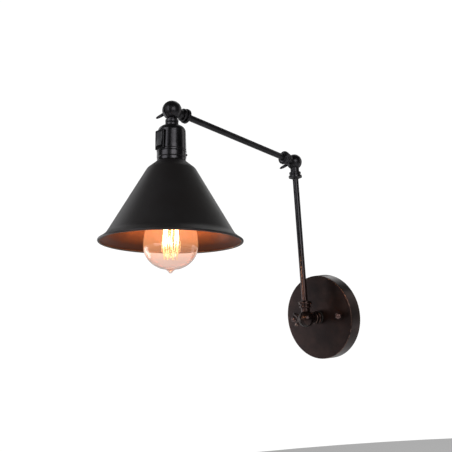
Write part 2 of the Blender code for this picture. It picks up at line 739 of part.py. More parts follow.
def make_shade(lamp, down, top):
    satin = make_look("satin_black", (0.022, 0.022, 0.024), 0.42, 0.7)
    hole = HOLDER_RADIUS + GAP
    shoulder = top + SHADE_SHOULDER
    cone_end = shoulder + SHADE_CONE
    flare_end = cone_end + SHADE_FLARE
    flare_radius = SHADE_RIM_RADIUS - 0.0014
    bead_middle = flare_end + 0.8 * SHADE_BEAD
    bead_radius = SHADE_RIM_RADIUS - SHADE_BEAD
    outer = [
        (SHADE_NECK_RADIUS - 0.0005, top),
        (SHADE_NECK_RADIUS + 0.0002, top + 0.0005),
        (0.5 * (SHADE_NECK_RADIUS + SHADE_SHOULDER_RADIUS), top + 0.52 * SHADE_SHOULDER),
        (SHADE_SHOULDER_RADIUS - 0.0008, shoulder - 0.0008),
        (SHADE_SHOULDER_RADIUS + 0.0006, shoulder + 0.0008),
        (SHADE_CONE_RADIUS - 0.0006, cone_end - 0.0010),
        (SHADE_CONE_RADIUS + 0.0008, cone_end + 0.0006),
        (flare_radius - 0.0006, flare_end - 0.0006),
    ]
    bead = []
    for degrees in (45, -10, -75, -140, -205):
        turn = math.radians(degrees)
        radius = bead_radius + SHADE_BEAD * math.cos(turn)
        bead.append((radius, bead_middle - SHADE_BEAD * math.sin(turn)))
    shift = SHADE_WALL
    inner = [
        (flare_radius - 0.0006 - 0.6 * shift, flare_end - 0.0006 + 0.8 * shift),
        (SHADE_CONE_RADIUS + 0.0008 - 0.7 * shift, cone_end + 0.0006 + 0.7 * shift),
        (SHADE_CONE_RADIUS - 0.0006 - 0.86 * shift, cone_end - 0.0010 + 0.5 * shift),
        (SHADE_SHOULDER_RADIUS + 0.0006 - 0.86 * shift, shoulder + 0.0008 + 0.5 * shift),
        (SHADE_SHOULDER_RADIUS - 0.0008 - 0.62 * shift, shoulder - 0.0008 + 0.78 * shift),
        (SHADE_NECK_RADIUS + 0.0002 - 0.62 * shift, top + 0.0005 + 0.78 * shift),
        (SHADE_NECK_RADIUS - 0.0005 - 0.5 * shift, top + shift),
        (hole, top + shift),
        (hole, top),
    ]
    inner[0] = (bead[-1][0] - 0.0002, bead[-1][1] - 0.0008)
    turned("shade", outer + bead + inner, lamp, down, satin, steps=FINE)

    slope = (SHADE_SHOULDER_RADIUS - SHADE_NECK_RADIUS) / SHADE_SHOULDER
    seat = top + shift + GAP
    narrow = hole + 0.0008
    drop = (SHADE_RING_RADIUS - narrow) / slope + 0.0004
    ring = [
        (hole, seat + 0.0003),
        (narrow, seat + 0.0003),
        (SHADE_RING_RADIUS, seat + drop + 0.0006),
        (SHADE_RING_RADIUS, seat + drop + SHADE_RING_HEIGHT / 2),
        (hole, seat + drop + SHADE_RING_HEIGHT / 2),
    ]
    turned("shade_ring", ring, lamp, down, graphite, steps=ROUND)


def tube_along(name, path, radius, look, origin, sides=6):
    # A round wire carried along a path of points, closed at both ends.
    points = []
    count = len(path)
    side = Vector((1, 0, 0))
    for k, spot in enumerate(path):
        ahead = path[min(k + 1, count - 1)] - path[max(k - 1, 0)]
        ahead.normalize()
        side = (side - ahead * side.dot(ahead)).normalized()
        other = ahead.cross(side)
        for j in range(sides):
            turn = 2 * math.pi * j / sides
            points.append(spot + radius * (side * math.cos(turn) + other * math.sin(turn)))
    faces = [tuple(range(sides)), tuple(range((count - 1) * sides, count * sides))[::-1]]
    for k in range(count - 1):
        for j in range(sides):
            n = (j + 1) % sides
            low = k * sides
            faces.append((low + j, low + sides + j, low + sides + n, low + n))
    return add_solid(name, [tuple(p) for p in points], faces, Matrix(), origin, look)


def make_bulb(lamp, down, tip, brass, ceramic):
    glass = make_look("clear_glass", (0.9, 0.9, 0.88), 0.03, 0.0)
    glass.node_tree.nodes["Principled BSDF"].inputs["Transmission Weight"].default_value = 1.0
    hot = make_look("filament", (1.0, 0.45, 0.12), 0.5, 0.0)
    end = tip + BULB_LENGTH
    wide = end - BULB_RADIUS
    cap_start = tip + 0.0048
    cap_end = cap_start + BULB_CAP_LENGTH
    neck = cap_end + GAP
    rise = wide - neck - 0.0020
    outer = [
        (0.0, end),
        (0.27 * BULB_RADIUS, wide + 0.965 * BULB_RADIUS),
        (0.52 * BULB_RADIUS, wide + 0.862 * BULB_RADIUS),
        (0.74 * BULB_RADIUS, wide + 0.690 * BULB_RADIUS),
        (0.90 * BULB_RADIUS, wide + 0.465 * BULB_RADIUS),
        (0.98 * BULB_RADIUS, wide + 0.225 * BULB_RADIUS),
        (BULB_RADIUS, wide),
        (0.985 * BULB_RADIUS, wide - 0.10 * rise),
        (0.94 * BULB_RADIUS, wide - 0.20 * rise),
        (0.82 * BULB_RADIUS, wide - 0.40 * rise),
        (0.66 * BULB_RADIUS, wide - 0.62 * rise),
        (0.50 * BULB_RADIUS, wide - 0.82 * rise),
        (0.43 * BULB_RADIUS, wide - 0.94 * rise),
        (BULB_NECK_RADIUS, neck),
        (BULB_NECK_RADIUS, neck - 0.0060),
    ]
    inner = [(max(r - BULB_GLASS, 0.0), h) for r, h in reversed(outer)]
    inner[-1] = (0.0, end - BULB_GLASS)
    inner[-2] = (inner[-2][0], inner[-2][1] - 0.9 * BULB_GLASS)
    inner[-3] = (inner[-3][0], inner[-3][1] - 0.6 * BULB_GLASS)
    turned("bulb_glass", outer + inner, lamp, down, glass, steps=ROUND)

    thread = [(LAMP_CAP_RADIUS - 0.0008, cap_start)]
    turns = 5
    pitch = (BULB_CAP_LENGTH - 0.0050) / turns
    for k in range(turns):
        thread.append((LAMP_CAP_RADIUS - 0.0007, cap_start + 0.0010 + k * pitch))
        thread.append((LAMP_CAP_RADIUS, cap_start + 0.0010 + (k + 0.5) * pitch))
    thread.append((LAMP_CAP_RADIUS - 0.0005, cap_end - 0.0040))
    thread.append((LAMP_CAP_RADIUS, cap_end))
    inside = BULB_NECK_RADIUS + GAP
    thread += [(inside, cap_end), (inside, cap_start)]
    nickel = make_look("lamp_cap_nickel", (0.62, 0.58, 0.50), 0.3, 1.0)
    turned("bulb_cap", thread, lamp, down, nickel, steps=ROUND)
    ring = [
        (0.0, tip + 0.0012 + GAP),
        (0.35 * LAMP_CAP_RADIUS, tip + 0.0012 + GAP),
        (0.90 * LAMP_CAP_RADIUS, cap_start - GAP),
        (0.0, cap_start - GAP),
    ]
    turned("bulb_insulator", ring, lamp, down, ceramic, steps=20)
    button = [(0.0, tip), (0.0030, tip + 0.0003), (0.0044, tip + 0.0012), (0.0, tip + 0.0012)]
    turned("bulb_contact", button, lamp, down, nickel, steps=12)

    low = end - 0.0170
    high = low - FILAMENT_HEIGHT
    stem_start = neck - 0.0050
    stem = [
        (0.0, stem_start),
        (BULB_NECK_RADIUS - BULB_GLASS - GAP, stem_start),
        (0.0060, stem_start + 0.0080),
        (0.0038, stem_start + 0.0200),
        (STEM_RADIUS, stem_start + 0.0280),
        (0.8 * STEM_RADIUS, high + 0.0060),
        (1.3 * STEM_RADIUS, high + 0.0080),
        (1.3 * STEM_RADIUS, high + 0.0100),
        (0.0, high + 0.0116),
    ]
    turned("bulb_stem", stem, lamp, down, glass, steps=14)

    across = Vector((1, 0, 0))
    other = Vector(down).cross(across)

    def spot(turn, height, ring=FILAMENT_RING):
        aim = across * math.cos(turn) + other * math.sin(turn)
        return lamp + aim * ring + down * height

    path = []
    step = 2 * math.pi * 0.86 / (FILAMENT_STRANDS - 1)
    for k in range(FILAMENT_STRANDS):
        turn = math.pi * 0.14 + k * step
        ends = (high, low) if k % 2 == 0 else (low, high)
        inset = 0.10 * FILAMENT_HEIGHT * (1 if k % 2 == 0 else -1)
        path.append(spot(turn - 0.10 * step, ends[0] + 0.2 * inset))
        path.append(spot(turn, ends[0] + inset))
        path.append(spot(turn, (ends[0] + ends[1]) / 2, 1.06 * FILAMENT_RING))
        path.append(spot(turn, ends[1] - inset))
        path.append(spot(turn + 0.10 * step, ends[1] - 0.2 * inset))
        if k < FILAMENT_STRANDS - 1:
            path.append(spot(turn + 0.5 * step, ends[1], 0.98 * FILAMENT_RING))
    tube_along("bulb_filament", path, FILAMENT_RADIUS, hot, lamp)
    first = math.pi * 0.14 - 0.10 * step
    last = math.pi * 0.14 + (FILAMENT_STRANDS - 1 + 0.10) * step
    for side, turn in (("left", first), ("right", last)):
        clear = LEAD_RADIUS + FILAMENT_RADIUS + GAP
        path = [
            spot(turn, stem_start + 0.0120, 0.0062),
            spot(turn, stem_start + 0.0240, 0.0066),
            spot(turn, high - 0.0100, FILAMENT_RING),
            spot(turn, high - 2 * clear, FILAMENT_RING),
        ]
        tube_along(f"bulb_lead_{side}", path, LEAD_RADIUS, steel, lamp)


def build():
    clear_scene()
    make_looks()
    stand_off = BASE_BALL + COLLAR_REACH + STUB_WASHER_THICK + 2 * GAP
    lean = math.radians(LOWER_LEAN)
    rise = math.radians(UPPER_RISE)
    tilt = math.radians(SHADE_TILT)
    base = Vector((0, -PLATE_DEPTH - stand_off, 0))
    lower = Vector((0, math.sin(lean), math.cos(lean)))
    upper = Vector((0, -math.cos(rise), math.sin(rise)))
    down = Vector((0, -math.sin(tilt), -math.cos(tilt)))
    elbow = base + lower * LOWER_LENGTH
    lamp = elbow + upper * UPPER_LENGTH

    make_wall_plate()
    make_wall_nipple(stand_off)
    rod_bore = ROD_RADIUS + GAP
    stub = collar_profile(BASE_BALL, NIPPLE_RADIUS + GAP, NIPPLE_GRIP + GAP)
    base_collar = collar_profile(BASE_BALL, rod_bore, ROD_GRIP)
    elbow_collar = collar_profile(ELBOW_BALL, rod_bore, ROD_GRIP)
    lamp_collar = collar_profile(LAMP_BALL, rod_bore, ROD_GRIP)
    wall_side = ("base_stub", Vector((0, 1, 0)), stub)
    arm_side = ("base_arm_collar", lower, base_collar)
    knuckle("base", base, BASE_BALL, wall_side, arm_side, BASE_WING_TURN, bronze, bronze_shine)
    near = ("elbow_lower_collar", -lower, elbow_collar)
    far = ("elbow_upper_collar", upper, elbow_collar)
    knuckle("elbow", elbow, ELBOW_BALL, near, far, ELBOW_WING_TURN, graphite, graphite_shine)
    near = ("lamp_arm_collar", -upper, lamp_collar)
    far = ("lamp_neck", down, lamp_neck_profile(LAMP_BALL))
    knuckle("lamp", lamp, LAMP_BALL, near, far, LAMP_WING_TURN, graphite, graphite_shine)
    make_rod("lower_arm", base, lower, LOWER_LENGTH, BASE_BALL, ELBOW_BALL)
    make_rod("upper_arm", elbow, upper, UPPER_LENGTH, ELBOW_BALL, LAMP_BALL)
    top, tip, brass, ceramic = make_socket(lamp, down)
    make_shade(lamp, down, top)
    make_bulb(lamp, down, tip, brass, ceramic)


build()
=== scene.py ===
# Swing arm wall sconce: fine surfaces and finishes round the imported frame.
# Metres, +Z up. The wall is the plane y = 0 and the room is on -Y.
import json
import math

import bpy
import numpy as np
from mathutils import Matrix, Vector

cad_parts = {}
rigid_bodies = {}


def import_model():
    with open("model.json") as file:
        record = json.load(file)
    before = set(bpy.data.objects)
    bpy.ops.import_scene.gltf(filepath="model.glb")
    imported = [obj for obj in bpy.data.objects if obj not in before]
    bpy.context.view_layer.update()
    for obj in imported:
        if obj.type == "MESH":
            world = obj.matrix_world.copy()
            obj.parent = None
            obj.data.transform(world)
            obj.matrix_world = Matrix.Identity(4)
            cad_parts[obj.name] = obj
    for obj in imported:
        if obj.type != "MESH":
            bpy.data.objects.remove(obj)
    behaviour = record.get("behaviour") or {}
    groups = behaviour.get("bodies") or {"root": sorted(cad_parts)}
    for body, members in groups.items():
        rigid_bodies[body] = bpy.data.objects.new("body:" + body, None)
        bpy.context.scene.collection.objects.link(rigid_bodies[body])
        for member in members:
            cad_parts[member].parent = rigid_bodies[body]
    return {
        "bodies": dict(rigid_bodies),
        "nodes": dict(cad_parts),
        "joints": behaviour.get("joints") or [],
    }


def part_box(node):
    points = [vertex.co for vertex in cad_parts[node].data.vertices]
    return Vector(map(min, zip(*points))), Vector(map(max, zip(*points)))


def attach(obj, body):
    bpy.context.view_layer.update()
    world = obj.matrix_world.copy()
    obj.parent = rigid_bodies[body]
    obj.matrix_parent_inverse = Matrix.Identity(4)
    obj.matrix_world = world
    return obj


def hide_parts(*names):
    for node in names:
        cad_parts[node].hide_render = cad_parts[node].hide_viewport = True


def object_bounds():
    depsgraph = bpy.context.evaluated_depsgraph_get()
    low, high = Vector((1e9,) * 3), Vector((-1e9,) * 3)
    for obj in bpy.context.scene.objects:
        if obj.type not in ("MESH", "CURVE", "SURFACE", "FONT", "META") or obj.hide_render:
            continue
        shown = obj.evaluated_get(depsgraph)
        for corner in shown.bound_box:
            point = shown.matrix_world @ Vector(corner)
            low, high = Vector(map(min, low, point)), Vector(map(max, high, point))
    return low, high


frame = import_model()
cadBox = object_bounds()


# ---- sizes read from the frame

def nodePoints(name):
    mesh = frame["nodes"][name].data
    spots = np.empty(len(mesh.vertices) * 3, np.float32)
    mesh.vertices.foreach_get("co", spots)
    return np.unique(np.round(spots.reshape(-1, 3).astype(float), 7), axis=0)


def span(name, centre, axis):
    # Lowest and highest place along an axis, then least and greatest distance from it.
    away = nodePoints(name) - centre
    along = away @ axis
    wide = np.linalg.norm(away - np.outer(along, axis), axis=1)
    return along.min(), along.max(), wide.min(), wide.max()


def unit(vector):
    return np.asarray(vector, float) / np.linalg.norm(vector)


def squareTo(axis):
    # Two unit vectors square to an axis; the first lies as near to X as it can.
    guide = np.array([0.0, 0.0, 1.0]) if abs(axis[0]) > 0.9 else np.array([1.0, 0.0, 0.0])
    across = unit(guide - axis * (guide @ axis))
    return across, np.cross(axis, across)


jointAt = {joint["name"]: np.array(joint["pos_m"]) for joint in frame["joints"]}
baseKnuckle = jointAt["base_pitch"]
elbowKnuckle = jointAt["elbow_pitch"]
lampKnuckle = jointAt["shade_tilt"]
pivot = np.array([1.0, 0.0, 0.0])  # every knuckle turns about X
outward = np.array([0.0, -1.0, 0.0])  # from the wall into the room
lowerDir = unit(elbowKnuckle - baseKnuckle)
upperDir = unit(lampKnuckle - elbowKnuckle)
down = unit(nodePoints("holder_shell").mean(axis=0) - lampKnuckle)  # the shade's own axis
front = np.cross(down, pivot)  # the side of the socket that carries the switch
if front @ outward < 0:
    front = -front
wallCentre = np.zeros(3)


# ---- outlines and surfaces

def rounded(corners, steps=6):
    # Outline through the corners. A third number cuts a corner to the curve
    # (1-s)^2 a + 2 s (1-s) b + s^2 c, which starts and ends that far from it.
    spots = [np.array(corner[:2], float) for corner in corners]
    s = np.linspace(0, 1, steps)[:, None]
    pieces = []
    for i, corner in enumerate(corners):
        cut = corner[2] if len(corner) > 2 else 0
        if not cut:
            pieces.append(spots[i][None])
            continue
        before = spots[i] + unit(spots[i - 1] - spots[i]) * cut
        after = spots[i] + unit(spots[(i + 1) % len(spots)] - spots[i]) * cut
        pieces.append((1 - s) ** 2 * before + 2 * s * (1 - s) * spots[i] + s**2 * after)
    return np.concatenate(pieces)


def arc(radius, start, end, count=14, middle=0.0):
    # Points (radius sin t, middle + radius cos t) on a ball, between two heights.
    first, last = (math.acos(max(-1, min(1, h / radius))) for h in (start, end))
    t = np.linspace(first, last, count)
    spots = np.stack([radius * np.sin(t), middle + radius * np.cos(t)], axis=1)
    spots[:, 0] = np.where(spots[:, 0] < 1e-7, 0, spots[:, 0])
    return spots


def through(points, count):
    # Smooth curve through the points: each span is a cubic whose end slopes are half the step
    # between its neighbours.
    p = np.asarray(points, float)
    p = np.concatenate([2 * p[:1] - p[1:2], p, 2 * p[-1:] - p[-2:-1]])
    s = np.linspace(0, len(points) - 1, count)
    i = np.minimum(s.astype(int), len(points) - 2)
    t = (s - i)[:, None]
    a, b, c, d = p[i], p[i + 1], p[i + 2], p[i + 3]
    square, cube = 2 * a - 5 * b + 4 * c - d, 3 * b - a - 3 * c + d
    return 0.5 * (2 * b + (c - a) * t + square * t**2 + cube * t**3)


def eased(outline, loop, gap=0.0008):
    # Puts a point in from both ends of each long straight stretch, here + gap and there - gap
    # along it, so that wear and shading stay at its corners.
    here = outline if loop else outline[:-1]
    there = np.roll(outline, -1, axis=0) if loop else outline[1:]
    length = np.maximum(np.linalg.norm(there - here, axis=1), 1e-9)[:, None]
    step = (there - here) * gap / length
    long = length[:, 0] > 4 * gap
    spots = np.stack([here, here + step, there - step], axis=1).reshape(-1, 2)
    spots = spots[np.stack([np.ones_like(long), long, long], axis=1).reshape(-1)]
    return spots if loop else np.concatenate([spots, outline[-1:]])


def edgeOf(outline, loop):
    # How sharply an outline turns at each point: 1 on a tight outer edge, -1 in a tight corner.
    ahead = np.roll(outline, -1, axis=0) - outline
    behind = outline - np.roll(outline, 1, axis=0)
    cross = behind[:, 0] * ahead[:, 1] - behind[:, 1] * ahead[:, 0]
    bend = np.arctan2(cross, (behind * ahead).sum(axis=1))
    step = 0.5 * (np.linalg.norm(ahead, axis=1) + np.linalg.norm(behind, axis=1))
    closing = np.roll(outline, -1, axis=0)
    area = (outline[:, 0] * closing[:, 1] - outline[:, 1] * closing[:, 0]).sum()
    edge = np.sign(area) * bend / np.maximum(step, 1e-6) * 0.0007
    if not loop:
        edge[[0, -1]] = 0
    return np.clip(edge, -1, 1)


def weave(points, edge=None, loop=False, slot=0):
    # Joins a grid of points into faces: rows follow the outline, columns go round. A row whose
    # points coincide is one pole. Faces are turned outwards by the sign of the volume.
    rows, columns = points.shape[:2]
    index = np.arange(rows * columns).reshape(rows, columns)
    pole = np.ptp(points, axis=1).max(axis=1) < 1e-9
    index[pole] = index[pole, :1]
    ahead = np.roll(index, -1, axis=0)
    here = index if loop else index[:-1]
    ahead = ahead if loop else ahead[:-1]
    quads = np.stack([here, np.roll(here, -1, 1), np.roll(ahead, -1, 1), ahead], axis=-1)
    keep, quads = np.unique(quads.reshape(-1, 4), return_inverse=True)
    quads = quads.reshape(-1, 4)
    spots = points.reshape(-1, 3)[keep]
    a, b, c, d = (spots[quads[:, k]] - spots.mean(axis=0) for k in range(4))
    volume = (a * np.cross(b, c)).sum() + (a * np.cross(c, d)).sum()
    if volume < 0:
        quads = quads[:, ::-1]
    worn = np.zeros((rows, columns)) if edge is None else np.asarray(edge, float)
    worn = np.broadcast_to(worn[:, None] if worn.ndim == 1 else worn, (rows, columns))
    return {"spots": spots, "quads": quads, "edge": worn.reshape(-1)[keep], "slot": slot}


def lathe(outline, centre, axis, sides=96, loop=False, slot=0, ease=True):
    # Turns an outline of (radius, height) about an axis: point (i, k) = centre + height_i axis
    # + radius_i (across cos t_k + other sin t_k), where t_k = 2 pi k / sides.
    outline = eased(outline, loop) if ease else outline
    across, other = squareTo(axis)
    t = 2 * math.pi * np.arange(sides) / sides
    ring = np.outer(np.cos(t), across) + np.outer(np.sin(t), other)
    points = centre + outline[:, 1, None, None] * axis + outline[:, 0, None, None] * ring
    return weave(points, edgeOf(outline, loop), loop, slot)


def capped(points):
    # Adds a first and a last row whose points all lie on the middle of the row beside them.
    ends = [np.repeat(points[i].mean(axis=0)[None, None], points.shape[1], axis=1) for i in (0, -1)]
    return np.concatenate([ends[0], points, ends[1]])


def carry(path, side, section, loop=False, slot=0, edge=None):
    # Carries a closed section along a path: point (i, k) = path_i + u_ik side_i + v_ik over_i, where
    # over_i is square to the path and to side_i. Open ends are closed on their middle.
    ahead = np.roll(path, -1, 0) - np.roll(path, 1, 0) if loop else np.gradient(path, axis=0)
    ahead /= np.linalg.norm(ahead, axis=1)[:, None]
    side = np.broadcast_to(side, path.shape)
    side = side - ahead * (side * ahead).sum(axis=1)[:, None]
    side = side / np.linalg.norm(side, axis=1)[:, None]
    over = np.cross(ahead, side)
    section = np.broadcast_to(section, (len(path),) + np.shape(section)[-2:])
    points = path[:, None] + section[..., :1] * side[:, None] + section[..., 1:] * over[:, None]
    worn = np.zeros(points.shape[:2]) if edge is None else np.broadcast_to(edge, points.shape[:2])
    if not loop:
        points = capped(points)
        worn = np.concatenate([worn[:1], worn, worn[-1:]])
    return weave(points, worn, loop, slot)


def circle(radius, sides=12):
    # Points (radius cos t, radius sin t).
    t = 2 * math.pi * np.arange(sides) / sides
    return radius * np.stack([np.cos(t), np.sin(t)], axis=1)


def meshOf(name, shells, finishes, sharp=32):
    # Shells become one mesh. A face with two corners on a pole becomes a triangle.
    spots = np.concatenate([shell["spots"] for shell in shells])
    starts = np.cumsum([0] + [len(shell["spots"]) for shell in shells[:-1]])
    quads = np.concatenate([shell["quads"] + start for shell, start in zip(shells, starts)])
    slots = np.concatenate([np.broadcast_to(shell["slot"], len(shell["quads"])) for shell in shells])
    same = quads == np.roll(quads, -1, axis=1)
    count = same.sum(axis=1)
    corners = np.array([[0, 2, 3], [0, 1, 3], [0, 1, 2], [0, 1, 2]])
    lone = np.take_along_axis(quads[count == 1], corners[same[count == 1].argmax(axis=1)], axis=1)
    mesh = bpy.data.meshes.new(name)
    mesh.from_pydata(spots.tolist(), [], quads[count == 0].tolist() + lone.tolist())
    order = np.concatenate([slots[count == 0], slots[count == 1]]).astype(np.int32)
    mesh.polygons.foreach_set("material_index", order)
    worn = mesh.attributes.new("edge", "FLOAT", "POINT")
    worn.data.foreach_set("value", np.concatenate([shell["edge"] for shell in shells]).astype(np.float32))
    for finish in finishes:
        mesh.materials.append(finish)
    mesh.shade_smooth()
    mesh.set_sharp_from_angle(angle=math.radians(sharp))
    return mesh


def addForm(name, shells, finishes, sharp=32):
    made = bpy.data.objects.new(name, meshOf(name, shells, finishes, sharp))
    bpy.context.scene.collection.objects.link(made)
    return made


def settle(piece, body, nodes):
    # The piece rides on its body and stands for its CAD nodes.
    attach(piece, body)
    if nodes:
        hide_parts(*nodes)
    return piece


def carve(piece, *steps, sharp=32):
    # Joins or cuts with helper forms, then keeps the result as the piece's own mesh.
    for kind, helper in steps:
        step = piece.modifiers.new(helper.name, "BOOLEAN")
        step.operation, step.solver, step.object = kind, "EXACT", helper
    bpy.context.view_layer.update()
    graph = bpy.context.evaluated_depsgraph_get()
    made = bpy.data.meshes.new_from_object(piece.evaluated_get(graph))
    piece.modifiers.clear()
    old, piece.data = piece.data, made
    bpy.data.meshes.remove(old)
    made.name = piece.name
    for _, helper in steps:
        bpy.data.objects.remove(helper, do_unlink=True)
    made.shade_smooth()
    made.set_sharp_from_angle(angle=math.radians(sharp))
    return piece


# ---- finishes

class Wire:
    # An output socket; arithmetic on it adds Math nodes.
    def __init__(self, finish, socket):
        self.finish, self.socket = finish, socket

    def maths(self, operation, *values):
        return self.finish.node("ShaderNodeMath", {"operation": operation}, *values)

    def __add__(self, other):
        return self.maths("ADD", self, other)

    def __sub__(self, other):
        return self.maths("SUBTRACT", self, other)

    def __rsub__(self, other):
        return self.maths("SUBTRACT", other, self)

    def __mul__(self, other):
        return self.maths("MULTIPLY", self, other)

    __radd__ = __add__
    __rmul__ = __mul__

    def within(self, low, high):
        # 0 below low, 1 above high and a soft step between them.
        settings = {"interpolation_type": "SMOOTHSTEP"}
        return self.finish.node("ShaderNodeMapRange", settings, self, low, high)


class Finish:
    # A material under construction. node() makes any node and gives back its first output.
    def __init__(self, name):
        self.material = bpy.data.materials.new(name)
        self.material.use_nodes = True
        self.tree = self.material.node_tree
        self.shader = self.tree.nodes["Principled BSDF"]
        self.spot = Wire(self, self.add("ShaderNodeTexCoord").outputs["Object"])

    def add(self, kind):
        return self.tree.nodes.new(kind)

    def feed(self, socket, value):
        if isinstance(value, Wire):
            self.tree.links.new(value.socket, socket)
        elif hasattr(value, "__len__") and len(socket.default_value) == 4:
            socket.default_value = (*value[:3], 1.0)
        else:
            socket.default_value = value

    def node(self, kind, settings=None, *values, out=0, **named):
        made = self.add(kind)
        for key, value in (settings or {}).items():
            if key == "stops":
                while len(made.color_ramp.elements) < len(value):
                    made.color_ramp.elements.new(0.5)
                for stop, (place, colour) in zip(made.color_ramp.elements, value):
                    stop.position, stop.color = place, (*colour, 1.0)
            else:
                setattr(made, key, value)
        for socket, value in zip(made.inputs, values):
            self.feed(socket, value)
        for key, value in named.items():
            self.feed(made.inputs[key.replace("_", " ")], value)
        return Wire(self, made.outputs[out])

    def noise(self, scale, detail=3.0, roughness=0.55, at=None):
        return self.node("ShaderNodeTexNoise", None, Vector=at or self.spot, Scale=scale,
                         Detail=detail, Roughness=roughness)

    def stretched(self, scale):
        # Object coordinates multiplied along each axis, for brushed and drawn patterns.
        return self.node("ShaderNodeVectorMath", {"operation": "MULTIPLY"}, self.spot, scale)

    def tint(self, amount, first, second):
        # Mix of two colours: sockets 0, 6 and 7 are a colour mix's factor, A and B.
        made = self.add("ShaderNodeMix")
        made.data_type = "RGBA"
        for key, value in ((0, amount), (6, first), (7, second)):
            self.feed(made.inputs[key], value)
        return Wire(self, made.outputs[2])

    def edge(self):
        return self.node("ShaderNodeAttribute", {"attribute_name": "edge"}, out=2)

    def bump(self, height, strength, distance):
        return self.node("ShaderNodeBump", None, Height=height, Strength=strength, Distance=distance)

    def done(self, **sockets):
        for key, value in sockets.items():
            self.feed(self.shader.inputs[key.replace("_", " ")], value)
        return self.material


paint = {
    "bronzeDark": (0.018, 0.0125, 0.0125),
    "bronzeWarm": (0.042, 0.024, 0.021),
    "copper": (0.30, 0.19, 0.155),
    "graphite": (0.0230, 0.0222, 0.0245),
    "graphiteLight": (0.046, 0.045, 0.050),
    # Near-black painted shade for tight inner corners.
    "cornerShade": (0.006, 0.005, 0.005),
    "shadeBlack": (0.0165, 0.0140, 0.0138),
    "shadeCloud": (0.021, 0.020, 0.021),
    "shadeWorn": (0.10, 0.07, 0.06),
    "lining": (0.185, 0.058, 0.020),
    "liningCloud": (0.240, 0.080, 0.031),
    # Painted shade for the lining near the rim.
    "liningRimShade": (0.045, 0.014, 0.006),
    "zinc": (0.52, 0.53, 0.54),
    "brass": (0.62, 0.42, 0.17),
    "nickel": (0.66, 0.62, 0.54),
}


def makeBronzed(name, low, high, gloss=0.36, lift=1.0):
    # Oil-rubbed bronze that turns to graphite black between two heights, worn to copper on its edges, with
    # painted shade darkening its tight inner corners.
    look = Finish(name)
    height = look.node("ShaderNodeSeparateXYZ", None, look.spot, out=2)
    black = height.within(low, high)
    cloud = look.noise(34.0, 5.0)
    grain = look.noise(900.0, 2.0)
    edge = look.edge()
    deep, light = ([lift * c for c in paint[key]] for key in ("bronzeDark", "bronzeWarm"))
    warm = look.tint(cloud.within(0.30, 0.85), deep, light)
    cool = look.tint(cloud.within(0.4, 0.8), paint["graphite"], paint["graphiteLight"])
    body = look.tint(black, warm, cool)
    rub = edge.within(0.25, 0.95) * look.noise(170.0, 3.0).within(0.34, 0.66)
    rub = rub * (0.46 - black * 0.46)
    # Painted shade: tight inner corners are darkened towards near-black; the same mask also roughens them.
    innerCorner = (0.0 - edge).within(0.15, 0.8) * 0.6
    colour = look.tint(innerCorner, look.tint(rub, body, paint["copper"]), paint["cornerShade"])
    rough = gloss + cloud * 0.10 + grain * 0.05 - rub * 0.12 + innerCorner * 0.2
    bump = look.bump(grain * 0.5 + look.noise(260.0, 2.0), 0.10, 0.0003)
    return look.done(Base_Color=colour, Metallic=0.88 + rub * 0.1, Roughness=rough, Normal=bump)


def makeShadeCoat():
    # Satin black powder coating, rubbed browner on its edges.
    look = Finish("satin_black_coat")
    cloud = look.noise(16.0, 3.0)
    grain = look.noise(1400.0, 2.0)
    edge = look.edge()
    rub = edge.within(0.2, 0.9) * look.noise(220.0, 3.0).within(0.4, 0.7)
    colour = look.tint(cloud.within(0.3, 0.75), paint["shadeBlack"], paint["shadeCloud"])
    colour = look.tint(rub * 0.35, colour, paint["shadeWorn"])
    rough = 0.40 + cloud * 0.08 + grain * 0.06
    bump = look.bump(grain + look.noise(420.0, 2.0) * 0.6, 0.10, 0.0003)
    return look.done(Base_Color=colour, Metallic=0.55, Roughness=rough, Normal=bump)


def makeLining():
    # Warm copper lacquer inside the shade, painted deep brown towards the rim as painted shade where less of
    # the bulb's light falls.
    look = Finish("shade_lining")
    cloud = look.noise(30.0, 4.0)
    grain = look.noise(1100.0, 2.0)
    along = look.node("ShaderNodeVectorMath", {"operation": "DOT_PRODUCT"}, look.spot, tuple(down), out=1)
    rimAt = lampKnuckle @ down + span("shade", lampKnuckle, down)[1]
    colour = look.tint(cloud.within(0.3, 0.75), paint["lining"], paint["liningCloud"])
    # Painted shade: darker towards the rim, standing in for the bulb's light falling off.
    colour = look.tint(along.within(rimAt - 0.040, rimAt - 0.004), colour, paint["liningRimShade"])
    rough = 0.40 + cloud * 0.10 + grain * 0.05
    return look.done(Base_Color=colour, Metallic=0.85, Roughness=rough, Normal=look.bump(grain, 0.12, 0.0003))


def makePlated(name, colour, dull, roughness, brushed):
    # Plated or turned metal: cloudy plating, fine scratches drawn out along one direction, and painted shade
    # darkening tight inner corners.
    look = Finish(name)
    cloud = look.noise(120.0, 4.0)
    lines = look.noise(1.0, 3.0, at=look.stretched(brushed))
    edge = look.edge()
    body = look.tint(cloud.within(0.3, 0.7), colour, dull)
    # Painted shade: tight inner corners are darkened to a quarter of the dull tone.
    body = look.tint((0.0 - edge).within(0.1, 0.8) * 0.55, body, tuple(0.25 * c for c in dull))
    rough = roughness + lines * 0.14 + cloud * 0.06
    return look.done(Base_Color=body, Metallic=1.0, Roughness=rough, Normal=look.bump(lines, 0.10, 0.0002))


def makeMoulded(name, colour, roughness, grainy):
    # Moulded plastic, resin or fibre with a fine grain.
    look = Finish(name)
    cloud = look.noise(90.0, 3.0)
    grain = look.noise(grainy, 3.0)
    body = look.tint(cloud.within(0.3, 0.7), colour, tuple(1.7 * c for c in colour))
    bump = look.bump(grain, 0.14, 0.0003)
    return look.done(Base_Color=body, Roughness=roughness + grain * 0.10, Normal=bump)


